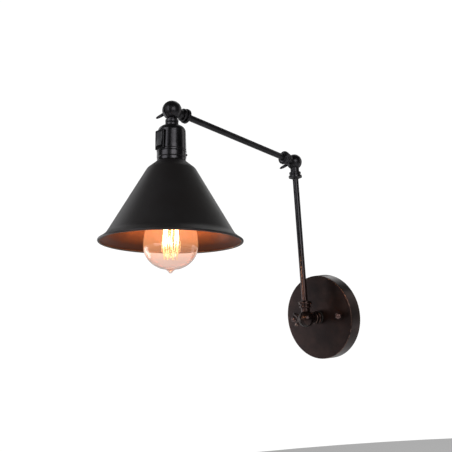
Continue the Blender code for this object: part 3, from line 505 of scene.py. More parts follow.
def makeGlass(name, tone, paintedGlowColour, low, high, strength):
    # Blown glass with a faint ripple. A painted glow: warm light is painted into its wall as emission and
    # fades downwards.
    look = Finish(name)
    ripple = look.noise(38.0, 2.0)
    height = look.node("ShaderNodeSeparateXYZ", None, look.spot, out=2)
    lit = height.within(low, high) * 0.95 + 0.05
    look.shader.inputs["Emission Strength"].default_value = strength
    look.shader.inputs["Transmission Weight"].default_value = 1.0
    look.shader.inputs["IOR"].default_value = 1.45
    colour = look.tint(look.noise(20.0).within(0.3, 0.7), tone, tuple(min(1.0, 1.02 * c) for c in tone))
    # Painted glow: warm emission in the wall between the given heights, fading below them.
    paintedGlow = look.tint(lit, (0.0, 0.0, 0.0), paintedGlowColour)
    return look.done(Base_Color=colour, Roughness=ripple * 0.012, Emission_Color=paintedGlow,
                     Normal=look.bump(ripple, 0.05, 0.002))


def makeGlowing(low, high):
    # Carbon filament: bright in its upper part and dim at its lower bends.
    look = Finish("filament_glow")
    height = look.node("ShaderNodeSeparateXYZ", None, look.spot, out=2)
    heat = height.within(low + 0.34 * (high - low), low + 0.60 * (high - low))
    colour = look.tint(heat, (0.046, 0.028, 0.011), (1.0, 0.62, 0.28))
    look.shader.inputs["Emission Strength"].default_value = glow["strength"]
    return look.done(Base_Color=(0.05, 0.03, 0.02), Emission_Color=colour, Roughness=0.6 + heat * 0.1)


glow = {"strength": 30.0, "lamp": 1.2, "lampRadius": 0.012, "colour": (1.0, 0.56, 0.27)}
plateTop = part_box("wall_plate")[1].z  # bronze near the wall plate, black above it
bronze = makeBronzed("oil_rubbed_bronze", 2 * plateTop, 3 * plateTop, 0.23)
bronzeBright = makeBronzed("bronze_polished", 2 * plateTop, 3 * plateTop, 0.13, 3.2)
armFinish = makeBronzed("arm_lacquer", 0.4 * plateTop, 2.2 * plateTop, 0.22, 1.9)
knuckleBronze = makeBronzed("knuckle_bronze", 2 * plateTop, 3 * plateTop, 0.20, 1.25)
graphite = makeBronzed("graphite_black", -3 * plateTop, -2 * plateTop, 0.25)
graphiteGloss = makeBronzed("graphite_gloss", -3 * plateTop, -2 * plateTop, 0.17)
shadeCoat = makeShadeCoat()
lining = makeLining()
zinc = makePlated("zinc_plate", paint["zinc"], (0.40, 0.41, 0.42), 0.32, (300, 300, 60))
brass = makePlated("turned_brass", paint["brass"], (0.45, 0.30, 0.12), 0.26, (60, 60, 900))
nickel = makePlated("lamp_cap_nickel", paint["nickel"], (0.48, 0.45, 0.40), 0.24, (60, 60, 900))
leadWire = makePlated("lead_wire", (0.45, 0.38, 0.32), (0.33, 0.28, 0.24), 0.34, (400, 400, 80))
greenScrew = makePlated("ground_green", (0.06, 0.30, 0.11), (0.04, 0.20, 0.08), 0.36, (200, 200, 200))
phenolic = makeMoulded("black_phenolic", (0.012, 0.012, 0.012), 0.42, 500.0)
fibre = makeMoulded("black_fibre", (0.020, 0.018, 0.016), 0.75, 900.0)
rockerBlack = makeMoulded("rocker_black", (0.012, 0.012, 0.014), 0.34, 1200.0)
bulbLow, bulbHigh = (corner.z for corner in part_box("bulb_glass"))
clearGlass = makeGlass("clear_glass", (0.84, 0.70, 0.64), (1.0, 0.46, 0.21),
                       bulbLow + 0.010, bulbLow + 0.038, 0.19)
stemGlass = makeGlass("stem_glass", (0.97, 0.94, 0.90), (1.0, 0.55, 0.30), bulbLow, bulbHigh, 0.05)
print("finishes ready")


# ---- wall plate and its fixings

plate = {"wall": 0.0012, "taper": 0.0006, "edge": 0.0011, "foot": 0.0006, "footHigh": 0.0020,
         "studBore": 0.0022, "sides": 160}


def makeWallPlate():
    low, depth, hole, radius = span("wall_plate", wallCentre, outward)
    wall, taper, edge, foot, footHigh = (plate[k] for k in ("wall", "taper", "edge", "foot", "footHigh"))
    outline = rounded([
        (radius - wall, low),
        (radius, low, foot / 2),
        (radius, footHigh, foot),
        (radius - taper, depth, edge),
        (hole, depth),
        (hole, depth - wall),
        (radius - taper - wall, depth - wall, edge),
        (radius - wall, footHigh, foot),
    ], 9)
    made = addForm("canopy", [lathe(outline, wallCentre, outward, plate["sides"], True)], [bronze])
    cuts = []
    for side in ("left", "right"):
        stud = nodePoints(f"plate_stud_{side}").mean(axis=0) * [1, 0, 0]
        reach = span(f"plate_stud_{side}", stud, outward)[1]
        bore, start = plate["studBore"], 2 * footHigh
        pin = rounded([(0, start), (bore, start), (bore, reach), (0, reach)])
        cuts.append(("DIFFERENCE", addForm(f"bore_{side}", [lathe(pin, stud, outward, 32)], [bronze])))
    return settle(carve(made, *cuts), "wall_mount", ["wall_plate"])


knob = {"foot": 0.62, "under": 0.80, "overStud": 0.0003, "soft": 0.0002, "sides": 64}


def makeKnobs():
    for side in ("left", "right"):
        node = f"plate_knob_{side}"
        spot = nodePoints(node).mean(axis=0) * [1, 0, 0]
        low, high, bore, radius = span(node, spot, outward)
        middle = high - radius
        deep = span(f"plate_stud_{side}", spot, outward)[1] + knob["overStud"]
        foot, soft = knob["foot"] * radius, knob["soft"]
        ball = arc(radius, radius, -knob["under"] * radius, 22, middle)
        outline = np.concatenate([ball, rounded([
            (foot, ball[-1, 1] - soft / 2, soft),
            (foot, low, soft),
            (bore, low),
            (bore, deep),
            (0, deep),
        ])])
        made = addForm(f"ball_nut_{side}", [lathe(outline, spot, outward, knob["sides"])], [bronzeBright])
        settle(made, "wall_mount", [node])


strap = {"corner": 0.0042, "slotWidth": 0.0046, "slotStart": 0.0200, "slotEnd": 0.0310,
         "edge": 0.00035, "bore": 0.0022}


def roundedBar(length, width, corner, count=10):
    # Rounded rectangle: four quarter circles (c + r cos t, c + r sin t) joined by straight sides.
    t = np.linspace(0, math.pi / 2, count)
    quarters = []
    for k, (sx, sy) in enumerate(((1, 1), (-1, 1), (-1, -1), (1, -1))):
        turn = t + k * math.pi / 2
        quarters.append(np.stack([sx * (length / 2 - corner) + corner * np.cos(turn),
                                  sy * (width / 2 - corner) + corner * np.sin(turn)], axis=1))
    return np.concatenate(quarters)


def pillow(outline, low, high, edge, origin, across, other, axis, slot=0):
    # Plate of an outline between two heights: rows shrink by e (1 - cos t) and rise by e sin t at each rim.
    t = np.linspace(0, math.pi / 2, 5)
    inset = np.concatenate([edge * (1 - np.sin(t)), edge * (1 - np.cos(t))])
    rise = np.concatenate([low + edge * (1 - np.cos(t)), high - edge * (1 - np.sin(t))])
    worn = np.concatenate([np.sin(2 * t), np.sin(2 * t)])
    ahead = np.roll(outline, -1, 0) - np.roll(outline, 1, 0)
    away = np.stack([ahead[:, 1], -ahead[:, 0]], axis=1)
    away /= np.linalg.norm(away, axis=1)[:, None]
    flat = outline[None] - inset[:, None, None] * away[None]
    points = origin + flat[..., :1] * across + flat[..., 1:] * other + rise[:, None, None] * axis
    middle = outline.mean(axis=0)
    poles = [origin + middle[0] * across + middle[1] * other + h * axis for h in (low, high)]
    columns = len(outline)
    points = np.concatenate([np.tile(poles[0], (1, columns, 1)), points, np.tile(poles[1], (1, columns, 1))])
    worn = np.concatenate([[0], worn, [0]])
    return weave(points, worn, False, slot)


def makeStrap():
    low, high = (np.array(corner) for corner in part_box("mounting_strap"))
    length, thick, width = high - low
    across, other = np.array([1.0, 0, 0]), np.array([0, 0, 1.0])
    outline = roundedBar(length, width, strap["corner"])
    shell = pillow(outline, 0.0, thick, strap["edge"], wallCentre, across, other, outward)
    made = addForm("strap", [shell], [zinc])
    cuts = []
    for sign in (-1, 1):
        middle = sign * (strap["slotStart"] + strap["slotEnd"]) / 2
        long = strap["slotEnd"] - strap["slotStart"] + strap["slotWidth"]
        slotLine = roundedBar(long, strap["slotWidth"], strap["slotWidth"] / 2 - 1e-5)
        where = wallCentre + middle * across
        cut = pillow(slotLine, -0.002, 2 * thick, 1e-4, where, across, other, outward)
        cuts.append(("DIFFERENCE", addForm(f"slot{sign}", [cut], [zinc])))
    bore = strap["bore"]
    for name in ("plate_stud_left", "plate_stud_right", "ground_screw"):
        where = nodePoints(name).mean(axis=0) * [1, 0, 0]
        pin = rounded([(0, -0.002), (bore, -0.002), (bore, 2 * thick), (0, 2 * thick)])
        cuts.append(("DIFFERENCE", addForm(f"bore_{name}", [lathe(pin, where, outward, 32)], [zinc])))
    settle(carve(made, *cuts), "wall_mount", ["mounting_strap"])


stud = {"radius": 0.0019, "flangeThick": 0.0016, "thread": 0.00018, "pitch": 0.0007, "runOut": 0.0004,
        "soft": 0.0003, "sides": 40}
earth = {"shank": 0.0019, "seat": 0.0023, "head": 0.0011, "dome": 0.72, "slotWide": 0.0009,
         "slotDeep": 0.0009}


def makeStuds():
    for side in ("left", "right"):
        node = f"plate_stud_{side}"
        spot = nodePoints(node).mean(axis=0) * [1, 0, 0]
        low, high, _, wide = span(node, spot, outward)
        radius, soft, runOut = stud["radius"], stud["soft"], stud["runOut"]
        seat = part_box("mounting_strap")[1].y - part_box("mounting_strap")[0].y + soft
        top = seat + stud["flangeThick"]
        turns = np.arange(top + 2 * soft, high - runOut, stud["pitch"] / 2)
        deep = radius - stud["thread"] * (1 - np.cos(2 * math.pi * (turns - turns[0]) / stud["pitch"])) / 2
        outline = np.concatenate([
            rounded([(0, low), (radius, low, soft), (radius, seat), (wide, seat, soft)]),
            rounded([(wide, (seat + top) / 2), (wide, top, soft), (radius, top)]),
            np.stack([deep, turns], axis=1),
            [(radius - runOut, high), (0, high)],
        ])
        made = addForm(f"stud_{side}", [lathe(outline, spot, outward, stud["sides"])], [zinc])
        settle(made, "wall_mount", [node])


def makeEarthScrew():
    spot = nodePoints("ground_screw").mean(axis=0) * [1, 0, 0]
    low, high, _, wide = span("ground_screw", spot, outward)
    shank, seat = earth["shank"], earth["seat"]
    outline = rounded([
        (0, low),
        (shank, low),
        (shank, seat),
        (wide, seat, 0.0003),
        (wide, seat + earth["head"], 0.0005),
        (earth["dome"] * wide, high - 0.0002, 0.0008),
        (0, high),
    ])
    made = addForm("earth_screw", [lathe(outline, spot, outward, 48)], [greenScrew])
    long = roundedBar(2.2 * wide, earth["slotWide"], 0.0002, 4)
    upright = np.array([0, 0, 1.0])
    slotCut = pillow(long, high - earth["slotDeep"], high + 0.001, 1e-4, spot, pivot, upright, outward)
    carve(made, ("DIFFERENCE", addForm("driver_slot", [slotCut], [greenScrew])))
    settle(made, "wall_mount", ["ground_screw"])


# ---- knuckles, collars and arms

collar = {"neck": 0.0060, "ring": 0.0080, "groove": 0.0067, "wide": 0.0091, "reach": 0.0132,
          "soft": 0.0008, "nippleGrip": 0.0076, "armGrip": 0.0103, "sides": 72}
neck = {"ring": 0.0080, "groove": 0.0068, "spigot": 0.0050, "soft": 0.0008}
knuckle = {"split": 0.56, "seat": 0.86, "washer": 0.0008, "gap": 0.0003, "clear": 0.0005,
           "screw": 0.0020, "pit": 0.00434, "nut": 0.0026, "lap": 0.0010, "capWall": 0.0015, "sides": 72}
wing = {"boss": 0.0034, "bossLength": 0.0046, "span": 0.0090, "reach": 0.0132, "thick": 0.0038,
        "halfWide": 0.0022, "bulge": 0.0011, "wear": 0.55, "base": 90.0, "elbow": -38.0, "lamp": -35.0}


def collarOutline(ball, bore, grip):
    # Neck, round ring, groove and wider collar, with a blind bore for the arm.
    end = ball + collar["reach"]
    at = [ball + share * collar["reach"] for share in (0.27, 0.50, 0.62, 0.90)]
    soft = collar["soft"]
    return rounded([
        (0, 0.3 * ball),
        (collar["neck"], 0.3 * ball),
        (collar["neck"], at[0], 0.0004),
        (collar["ring"], at[0], 1.2 * soft),
        (collar["ring"], at[1], 1.2 * soft),
        (collar["groove"], at[1], 0.0003),
        (collar["groove"], at[2], 0.0003),
        (collar["wide"], at[2], soft),
        (collar["wide"], at[3], soft),
        (collar["groove"], at[3] + 0.0001, 0.0004),
        (bore + 0.0010, end, 0.0004),
        (bore, end),
        (bore, end - grip),
        (0, end - grip),
    ])


def neckOutline(ball):
    # Two rings under the lamp ball and a spigot through the socket's roof.
    low = span("socket_cup", lampKnuckle, down)[0] - 0.0003
    end = span("lamp_neck", lampKnuckle, down)[1]
    middle = (ball + low) / 2 + 0.0001
    ring, groove, spigot, soft = (neck[k] for k in ("ring", "groove", "spigot", "soft"))
    return rounded([
        (0, 0.3 * ball),
        (collar["neck"], 0.3 * ball),
        (collar["neck"], ball - 0.0002, 0.0003),
        (ring, ball, soft),
        (ring, middle - 0.0004, soft),
        (groove, middle - 0.0002, 0.0001),
        (groove, middle + 0.0002, 0.0001),
        (ring, middle + 0.0004, soft),
        (ring, low, 0.0006),
        (spigot, low),
        (spigot, end, 0.0004),
        (0, end),
    ])


def makeHalves(part, centre, nearNode, nearDir, nearLine, farNode, farDir, farLine, bodies, finish):
    # The near half carries the nut pit under the cap, the far half the flat seat of the wing screw.
    ball = ballOf[part]
    sides = knuckle["sides"]
    face = knuckle["washer"] / 2 + knuckle["gap"]
    sweep = ball + knuckle["clear"]
    split, seat = knuckle["split"] * ball, knuckle["seat"] * ball
    bore, lap = knuckle["screw"] + knuckle["gap"], knuckle["lap"]

    def helper(name, outline):
        return addForm(f"{part}_{name}", [lathe(outline, centre, pivot, sides)], [finish])

    def closed(line):
        return np.concatenate([[(0, line[0, 1])], line, [(0, line[-1, 1])]])

    made = addForm(farNode, [lathe(farLine, centre, farDir, collar["sides"])], [finish])
    dome = arc(ball, -seat, lap, 26)
    flat = rounded([(0, -seat), (dome[0, 0] - 0.0001, -seat, 0.0003), tuple(dome[1])])
    dome = np.concatenate([flat[:-1], dome[1:], [(0, lap)]])
    screwHole = [(0, -2 * ball), (bore, -2 * ball), (bore, 2 * ball), (0, 2 * ball)]
    steps = [("UNION", helper("dome", dome)),
             ("DIFFERENCE", helper("room", closed(arc(sweep, -face, sweep, 30)[:-1]))),
             ("DIFFERENCE", helper("bore", rounded(screwHole)))]
    farPiece = carve(made, *steps)
    farPiece.name = f"{part}_ball_far"
    settle(farPiece, bodies[1], [farNode])

    made = addForm(nearNode, [lathe(nearLine, centre, nearDir, collar["sides"])], [finish])
    disc = closed(arc(ball, -lap, split + 0.0004, 12))
    pocket = split - knuckle["nut"] - knuckle["gap"]
    pit = [(0, -2 * ball), (bore, -2 * ball), (bore, pocket), (knuckle["pit"], pocket),
           (knuckle["pit"], 2 * ball), (0, 2 * ball)]
    steps = [("UNION", helper("disc", disc)),
             ("DIFFERENCE", helper("room", closed(arc(sweep, -sweep, face, 30)[1:]))),
             ("DIFFERENCE", helper("crown", closed(arc(sweep, split, sweep, 16)[:-1]))),
             ("DIFFERENCE", helper("pit", rounded(pit)))]
    nearPiece = carve(made, *steps)
    nearPiece.name = f"{part}_ball_near"
    settle(nearPiece, bodies[0], [nearNode])

    cap = arc(ball, split + knuckle["gap"], ball, 22)
    hollow = split + knuckle["capWall"]
    inner = knuckle["screw"] + lap
    low = split + knuckle["gap"]
    rim = rounded([(0, hollow), (inner, hollow), (inner, low), (cap[0, 0], low, 0.00025), tuple(cap[1])])
    shell = lathe(np.concatenate([rim, cap[2:]]), centre, pivot, sides)
    settle(addForm(f"{part}_ball_cap", [shell], [finish]), bodies[0], [f"{part}_cap"])

    low, high, bore, wide = span(f"{part}_friction_washer", centre, pivot)
    soft = 0.0002
    line = rounded([(bore, low), (wide, low, soft), (wide, high, soft), (bore, high)])
    shell = lathe(line, centre, pivot, sides, True)
    settle(addForm(f"{part}_fibre_disc", [shell], [fibre]), bodies[1], [f"{part}_friction_washer"])


def makeWing(part, centre, body, finish):
    # A turned boss with two leaves. A leaf is an oval section carried outwards along a bent path:
    # half width (w + bulge sin pi t) sqrt(1 - t^6), half thickness h (1.1 - 0.2 t) sqrt(1 - t^8).
    node = f"{part}_wing_screw"
    high = span(node, centre, pivot)[1]
    ball = span(f"{part}_cap", centre, pivot)[1]
    seat = knuckle["seat"] * ball + knuckle["gap"]
    screw, boss, end = knuckle["screw"], wing["boss"], seat + wing["bossLength"]
    outline = rounded([
        (0, high),
        (screw, high, 0.0004),
        (screw, -seat),
        (boss, -seat, 0.0003),
        (boss, -seat - 0.0012, 0.0003),
        (0.90 * boss, -seat - 0.0017, 0.0003),
        (0.80 * boss, -end, 0.0009),
        (0, -end - 0.0002),
    ])
    made = addForm(node + "_form", [lathe(outline, centre, pivot, 48)], [finish])
    turn = math.radians(wing[part])
    across = np.array([0, -math.cos(turn), math.sin(turn)])
    flat = np.cross(pivot, across)
    t = np.linspace(0, 1, 30)
    far, reach = wing["span"], wing["reach"]
    phase = 2 * math.pi * np.arange(28) / 28
    width = (wing["halfWide"] + wing["bulge"] * np.sin(math.pi * t)) * np.sqrt(np.maximum(1 - t**6, 0))
    depth = wing["thick"] / 2 * (1.1 - 0.20 * t) * np.sqrt(np.maximum(1 - t**8, 0))
    oval = np.stack([width[:, None] * np.cos(phase), depth[:, None] * np.sin(phase)], axis=2)
    worn = np.broadcast_to(np.abs(np.cos(phase)) ** 6 * wing["wear"], (30, 28))
    leaves = []
    for sign in (-1, 1):
        u = sign * far * (0.08 + 0.88 * t + 0.02 * np.sin(math.pi * t))
        a = seat + reach * (0.16 + 0.30 * t + 0.48 * t**2)
        path = centre + u[:, None] * across - a[:, None] * pivot
        side = np.cross(np.gradient(path, axis=0), flat)
        leaf = carry(path, side, oval, edge=worn)
        leaves.append(("UNION", addForm(f"{part}_leaf{sign}", [leaf], [finish])))
    made = carve(made, *leaves, sharp=40)
    made.name = f"{part}_thumb_screw"
    settle(made, body, [node])


arm = {"edge": 0.0005, "sides": 72}


def makeArm(node, start, direction, finish, name):
    low, high, bore, radius = span(node, start, direction)
    edge = arm["edge"]
    outline = rounded([(radius, low, edge), (radius, high, edge),
                       (bore, high, edge / 2), (bore, low, edge / 2)])
    made = addForm(name, [lathe(outline, start, direction, arm["sides"], True)], [finish])
    settle(made, node, [node])


def makeStubWasher():
    low, high, bore, wide = span("stub_washer", wallCentre, outward)
    line = rounded([(bore, low), (wide, low, 0.0002), (wide, high, 0.0002), (bore, high)])
    made = addForm("stub_fibre_ring", [lathe(line, wallCentre, outward, 72, True)], [fibre])
    settle(made, "wall_mount", ["stub_washer"])


# ---- socket, switch and lamp holder

socket = {"dome": 0.0078, "flat": 0.0030, "wall": 0.0010, "bead": 0.0030, "lip": 0.0005, "sides": 128}


def cupSizes():
    low, high, hole, wide = span("socket_cup", lampKnuckle, down)
    away = nodePoints("socket_cup") - lampKnuckle
    along = away @ down
    radii = np.linalg.norm(away - np.outer(along, down), axis=1)
    atDome = np.abs(along - low - socket["dome"]) < 1e-5
    return low, high, hole, radii[atDome].max(), wide


def makeCup():
    top, bottom, hole, upper, lower = cupSizes()
    t = np.linspace(0, math.pi / 2, 20)
    flat = hole + socket["flat"]
    # Roof: radius = flat + (upper - flat) sin t, height = top + dome (1 - cos t).
    roof = np.stack([flat + (upper - flat) * np.sin(t), top + socket["dome"] * (1 - np.cos(t))], axis=1)
    wall = socket["wall"]
    under = np.stack([roof[:, 0] - wall * np.sin(t), roof[:, 1] + wall * np.cos(t)], axis=1)[::-1]
    slope = (lower - upper) / (bottom - top - socket["dome"])
    near = bottom - socket["bead"]
    rim = rounded([
        (upper + slope * (near - top - socket["dome"]), near, 0.0003),
        (lower - 0.0005, near + 0.0003, 0.0002),
        (lower - 0.0005, near + 0.0009, 0.0002),
        (lower, near + 0.0012, 0.0003),
        (lower, bottom, socket["lip"]),
        (lower - wall, bottom),
    ])
    outline = np.concatenate([[(hole, top)], roof, rim, under, [(hole, top + wall)]])
    made = addForm("cup", [lathe(outline, lampKnuckle, down, socket["sides"], True)], [graphiteGloss])
    middle, face = switchPlace()
    window = roundedBar(switch["windowHigh"], switch["windowWide"], 0.0004)
    where = lampKnuckle + down * middle
    cut = pillow(window, face - 0.009, face + 0.003, 1e-5, where, down, np.cross(front, down), front)
    carve(made, ("DIFFERENCE", addForm("window", [cut], [graphite])))
    made.name = "socket_shell"
    settle(made, "lamp_head", ["socket_cup"])


sleeve = {"taper": 0.0005, "lip": 0.0005, "stepAt": 0.6, "screwRoom": 0.0003}


def makeSleeve():
    top, low, bore, wide = span("socket_sleeve", lampKnuckle, down)
    narrow = wide - sleeve["taper"]
    step = top + sleeve["stepAt"] * (low - top)
    outline = rounded([
        (bore, top),
        (wide, top, sleeve["lip"]),
        (wide, step - 0.0004, 0.0003),
        (wide - 0.0005, step, 0.0002),
        (wide - 0.0005, step + 0.0005, 0.0002),
        (wide - 0.0001, step + 0.0009, 0.0003),
        (narrow, low, sleeve["lip"]),
        (bore, low),
    ])
    made = addForm("sleeve", [lathe(outline, lampKnuckle, down, socket["sides"], True)], [graphiteGloss])
    spots = nodePoints("sleeve_set_screw") - lampKnuckle
    along = spots @ down
    spot = lampKnuckle + down * along.mean()
    aim = unit((spots - np.outer(along, down)).mean(axis=0))
    inner, head, _, radius = span("sleeve_set_screw", spot, aim)
    bore, first, last = radius + sleeve["screwRoom"], inner - 0.002, head + 0.01
    pin = rounded([(0, first), (bore, first), (bore, last), (0, last)])
    carve(made, ("DIFFERENCE", addForm("screw_bore", [lathe(pin, spot, aim, 32)], [graphite])))
    made.name = "socket_collar"
    settle(made, "lamp_head", ["socket_sleeve"])
    line = rounded([(0, inner), (radius, inner, 0.0002), (radius, head, 0.0004),
                    (0.35 * radius, head, 0.0001), (0.30 * radius, head - 0.0004), (0, head - 0.0004)])
    made = addForm("locking_screw", [lathe(line, spot, aim, 40)], [graphiteGloss])
    settle(made, "lamp_head", ["sleeve_set_screw"])


switch = {"wide": 0.0154, "high": 0.0236, "drop": 0.0085, "proud": 0.0016, "corner": 0.0014,
          "windowWide": 0.0100, "windowHigh": 0.0182, "throw": 6.0, "crown": 0.0056, "body": 0.0022,
          "belly": 0.0012, "ease": 0.0006, "edge": 0.0005}


def switchPlace():
    # The switch's middle along the shade axis, and how far out its face stands.
    top, bottom, _, upper, lower = cupSizes()
    middle = top + switch["drop"] + switch["high"] / 2
    share = (middle - top) / (bottom - top)
    return middle, upper + (lower - upper) * share + switch["proud"]


def makeSwitchFrame():
    # A rim whose section is carried round the rounded window. Its back follows the cup:
    # depth = sqrt(R^2 - u^2), where u is the distance from the middle line.
    top, bottom, _, upper, lower = cupSizes()
    middle, face = switchPlace()
    across = np.cross(front, down)
    count = 12
    outer = roundedBar(switch["high"], switch["wide"], switch["corner"], count)
    inner = roundedBar(switch["windowHigh"], switch["windowWide"], 0.0005, count)
    edge = switch["edge"]
    t = np.linspace(0, math.pi / 2, 6)
    # Rows go from the outer back, over the rim, to the inner back; each row has its share of the
    # way in from the outer line and its depth under the face.
    rows = [(0.0, None)] + [(edge * (1 - math.cos(a)), edge * (1 - math.sin(a))) for a in t]
    back = [(edge * (1 - math.cos(a)), edge * (1 - math.sin(a))) for a in t[::-1]]
    gap = np.linalg.norm(outer - inner, axis=1)[:, None]
    line = []
    for inset, depth in rows:
        line.append((outer + (inner - outer) * inset / gap, depth))
    for inset, depth in back:
        line.append((inner + (outer - inner) * inset / gap, depth))
    line.append((inner, None))
    grids = []
    for flat, depth in line:
        height = middle + flat[:, 0]
        cup = upper + (lower - upper) * (height - top) / (bottom - top) + 0.0003
        seat = np.sqrt(cup**2 - flat[:, 1] ** 2)
        out = seat if depth is None else np.full(len(flat), face - depth)
        grids.append(lampKnuckle + np.outer(height, down) + np.outer(flat[:, 1], across)
                     + np.outer(out, front))
    worn = np.array([0] + list(np.sin(2 * t)) + list(np.sin(2 * t)) + [0])
    made = addForm("switch_bezel", [weave(np.array(grids), worn, True)], [graphiteGloss])
    settle(made, "lamp_head", ["switch_frame"])


def makeRocker():
    # Rounded sections from end to end, at s from -1 to 1. Top: crown + rise |s|^1.6; base: a belly of
    # 1 - |s|^3. Both ends are drawn in by 1 - sqrt(1 - q^2), where q runs over the last stretch.
    spot = jointAt["rocker_tilt"]
    lean = math.radians(-switch["throw"])
    along = down * math.cos(lean) - front * math.sin(lean)
    out = front * math.cos(lean) + down * math.sin(lean)
    spots = nodePoints("switch_rocker") - spot
    # It leans the way its CAD solid does, which is the way that measures it thinner.
    if np.ptp(spots @ out) > np.ptp(spots @ (front * math.cos(lean) - down * math.sin(lean))):
        along = down * math.cos(lean) + front * math.sin(lean)
        out = front * math.cos(lean) - down * math.sin(lean)
    across = np.cross(out, along)
    half = np.abs(spots @ along).max()
    wide = np.abs(spots @ across).max()
    crown, ease = switch["crown"], switch["ease"]
    tip = (spots @ out).max()
    base = crown - switch["body"]
    s = np.sin(np.linspace(-math.pi / 2, math.pi / 2, 40))
    q = np.clip((np.abs(s) * half - half + ease) / ease, 0, 1)
    draw = ease * (1 - np.sqrt(1 - np.minimum(q, 1) ** 2 * 0.999))
    top = crown + (tip - crown) * np.abs(s) ** 1.6 - draw
    low = base - switch["belly"] * (1 - np.abs(s) ** 3) + draw
    path = spot + np.outer(s * half, along) + np.outer((top + low) / 2, out)
    grid = []
    for place, depth, inset in zip(path, top - low, draw):
        line = roundedBar(2 * (wide - inset), depth, min(switch["edge"], 0.45 * depth), 5)
        grid.append(place + np.outer(line[:, 0], across) + np.outer(line[:, 1], out))
    made = addForm("rocker_button", [weave(capped(np.array(grid)))], [rockerBlack], 50)
    settle(made, "switch_rocker", ["switch_rocker"])


holder = {"wall": 0.0015, "floor": 0.0060, "pitch": 0.0034, "thread": 0.0004}


def makeHolder():
    low, high, _, wide = span("lamp_holder", lampKnuckle, down)
    inner = wide - holder["wall"]
    floor = low + holder["floor"]
    outline = rounded([(0, low), (wide, low, 0.0006), (wide, high, 0.0005), (inner, high, 0.0004),
                       (inner, floor), (0, floor)])
    made = addForm("lamp_socket", [lathe(outline, lampKnuckle, down, 96)], [phenolic])
    settle(made, "lamp_head", ["lamp_holder"])
    low, high, bore, wide = span("holder_shell", lampKnuckle, down)
    turns = np.linspace(low + 0.001, high - 0.0016, 60)
    wave = -holder["thread"] * 0.5 * (1 - np.cos(2 * math.pi * (turns - turns[0]) / holder["pitch"]))
    thin = wide - bore
    outer = np.stack([wide + wave, turns], axis=1)
    inner = np.stack([wide + wave - thin, turns], axis=1)[::-1]
    outline = np.concatenate([[(wide, low)], outer, [(wide, high), (bore, high)], inner, [(bore, low)]])
    made = addForm("screw_shell", [lathe(outline, lampKnuckle, down, 72, True)], [brass])
    settle(made, "lamp_head", ["holder_shell"])


# ---- shade

shade = {"wall": 0.0010, "bead": 0.0015, "shoulder": 0.0088, "cone": 0.0796, "flare": 0.0062,
         "lip": 0.0092, "spread": 0.0110, "seat": 0.0018, "trim": 0.00025, "sides": 200}


def makeShade():
    top, low, hole, rim = span("shade", lampKnuckle, down)
    rim -= shade["trim"]
    wall, bead = shade["wall"], shade["bead"]
    neck = hole + shade["seat"]
    shoulder = (neck + shade["spread"], top + shade["shoulder"])
    cone = (rim - shade["lip"], shoulder[1] + shade["cone"])
    flare = (rim - 0.0014, cone[1] + shade["flare"])
    outer = rounded([
        (hole, top),
        (neck, top, 0.0010),
        (shoulder[0], shoulder[1], 0.0022),
        (cone[0], cone[1], 0.0030),
        (flare[0] - 0.0004, flare[1] - 0.0004),
    ], 14)
    rows = np.linspace(0, 1, 24)[1:-1, None]
    split = np.linalg.norm(np.diff(outer, axis=0), axis=1).argmax()  # the cone is the longest stretch
    cone = outer[split] + rows * (outer[split + 1] - outer[split])
    outer = np.concatenate([outer[:split + 1], cone, outer[split + 1:]])
    turn = np.radians(np.linspace(48, -212, 24))
    roll = np.stack([rim - bead + bead * np.cos(turn), flare[1] + 0.8 * bead - bead * np.sin(turn)], axis=1)
    # The inner wall is the outer one moved in by the sheet's thickness along its own normal.
    ahead = np.gradient(outer, axis=0)
    away = np.stack([-ahead[:, 1], ahead[:, 0]], axis=1)
    inner = outer + wall * away / np.linalg.norm(away, axis=1)[:, None]
    inner = inner[(inner[:, 0] > hole) & (inner[:, 1] < flare[1] - 0.0012)][::-1]
    outline = np.concatenate([outer, roll, inner, [(hole, top + wall)]])
    lit = np.arange(len(outline)) >= len(outer) + len(roll) - 4
    shell = lathe(outline, lampKnuckle, down, shade["sides"], True, ease=False)
    shell["slot"] = np.repeat(lit.astype(int), shade["sides"])
    made = addForm("cone_shade", [shell], [shadeCoat, lining], 40)
    settle(made, "lamp_head", ["shade"])
    low, high, bore, wide = span("shade_ring", lampKnuckle, down)
    outline = rounded([(bore, low), (bore + 0.0008, low, 0.0002), (wide, low + 0.6 * (high - low), 0.0005),
                       (wide, high, 0.0006), (bore, high)])
    made = addForm("clamp_ring", [lathe(outline, lampKnuckle, down, 144, True)], [graphite])
    settle(made, "lamp_head", ["shade_ring"])


# ---- bulb

bulb = {"glass": 0.0007, "pip": 0.0040, "pipRadius": 0.0050, "neckRadius": 0.0120, "neckLong": 0.0060,
        "capTurns": 5, "capThread": 0.0007, "sides": 96}


